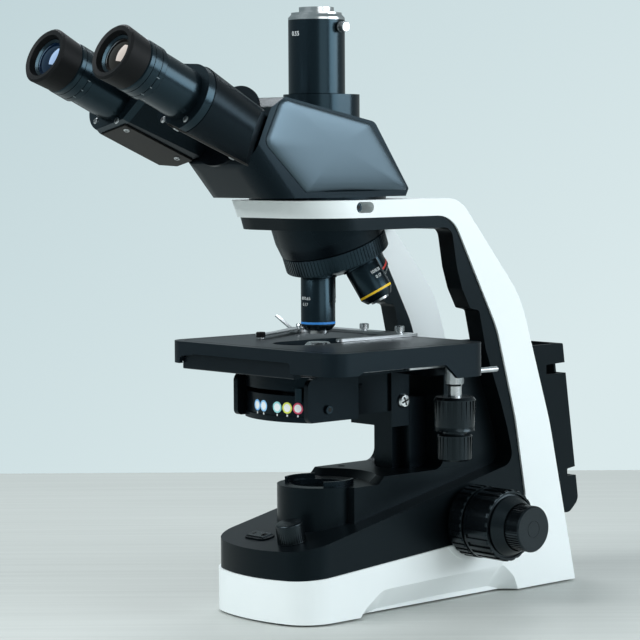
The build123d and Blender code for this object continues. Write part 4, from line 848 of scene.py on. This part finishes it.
right = Vector((math.cos(heading), math.sin(heading), 0))
away = Vector((-math.sin(heading), math.cos(heading), 0))
table_back = 0.745
table_half = 1.6
flat_sheet(
    "table",
    [
        away * table_back - right * table_half,
        away * (table_back - 2 * table_half) - right * table_half,
        away * (table_back - 2 * table_half) + right * table_half,
        away * table_back + right * table_half,
    ],
    table_laminate(),
)


def soft_light(name, place, target, width, height, power, colour):
    """A rectangular studio softbox aimed at target."""
    lamp = bpy.data.lights.new(name, "AREA")
    lamp.shape = "RECTANGLE"
    lamp.size = width
    lamp.size_y = height
    lamp.energy = power
    lamp.color = srgb(colour)[:3]
    softbox = bpy.data.objects.new(name, lamp)
    softbox.location = place
    softbox.rotation_euler = (Vector(target) - Vector(place)).to_track_quat("-Z", "Y").to_euler()
    bpy.context.scene.collection.objects.link(softbox)


middle = Vector((0, 0.02, 0.22))
soft_light("window_light", middle - right * 1.3 - away * 0.7 + up * 1.3, middle, 1.4, 1.4, 44, "#F4F9FC")
soft_light("side_light", Vector((1.5, 0.9, 0.75)), middle, 1.3, 0.9, 24, "#F1F9FF")
soft_light("front_light", middle + right * 0.9 - away * 1.8 + up * 0.5, middle, 1.2, 1.0, 6, "#FFFFFF")
soft_light("rim_light", middle + away * 1.2 + up * 1.5, middle, 1.2, 0.8, 22, "#F6FAFF")


def room_air():
    """The pale wall behind, brighter low on the right, and a dimmer room that lights the object all round."""
    world = bpy.data.worlds.new("room")
    bpy.context.scene.world = world
    world.use_nodes = True
    tree = world.node_tree
    ray = add_node(tree, "ShaderNodeTexCoord").outputs["Generated"]
    lean = math.radians(52)
    turned_ray = add_node(
        tree,
        "ShaderNodeMapping",
        settings={"vector_type": "TEXTURE"},
        values={"Rotation": (0, lean, heading)},
        links={"Vector": ray},
    )
    split = add_node(tree, "ShaderNodeSeparateXYZ", links={"Vector": turned_ray.outputs["Vector"]})
    level = add_node(
        tree,
        "ShaderNodeMapRange",
        values={"From Min": -0.14, "From Max": 0.14},
        links={"Value": split.outputs["X"]},
    )
    ramp = add_node(tree, "ShaderNodeValToRGB", links={"Fac": level.outputs["Result"]})
    ramp.color_ramp.elements[0].color = srgb("#C2D5D9")
    ramp.color_ramp.elements[1].color = srgb("#DAE9EB")
    seen_directly = add_node(tree, "ShaderNodeLightPath").outputs["Is Camera Ray"]
    strength = add_node(
        tree,
        "ShaderNodeMapRange",
        values={"To Min": room_glow, "To Max": 1.0},
        links={"Value": seen_directly},
    )
    back = tree.nodes["Background"]
    tree.links.new(ramp.outputs["Color"], back.inputs["Color"])
    tree.links.new(strength.outputs["Result"], back.inputs["Strength"])


room_glow = 0.40       # light that the rest of the room gives, against the wall's own brightness
room_air()

lens = bpy.data.cameras.new("camera")
lens.sensor_width = 36
lens.lens = lens.sensor_width * focal_pixels / picture_width
lens.clip_start = 0.05
camera = bpy.data.objects.new("camera", lens)
aim = Matrix.Rotation(heading, 4, "Z") @ Matrix.Rotation(math.pi / 2 - pitch, 4, "X")
camera.matrix_world = Matrix.Translation(eye) @ aim @ Matrix.Rotation(roll, 4, "Z")
bpy.context.scene.collection.objects.link(camera)
bpy.context.scene.camera = camera
bpy.context.scene.view_settings.view_transform = "Standard"
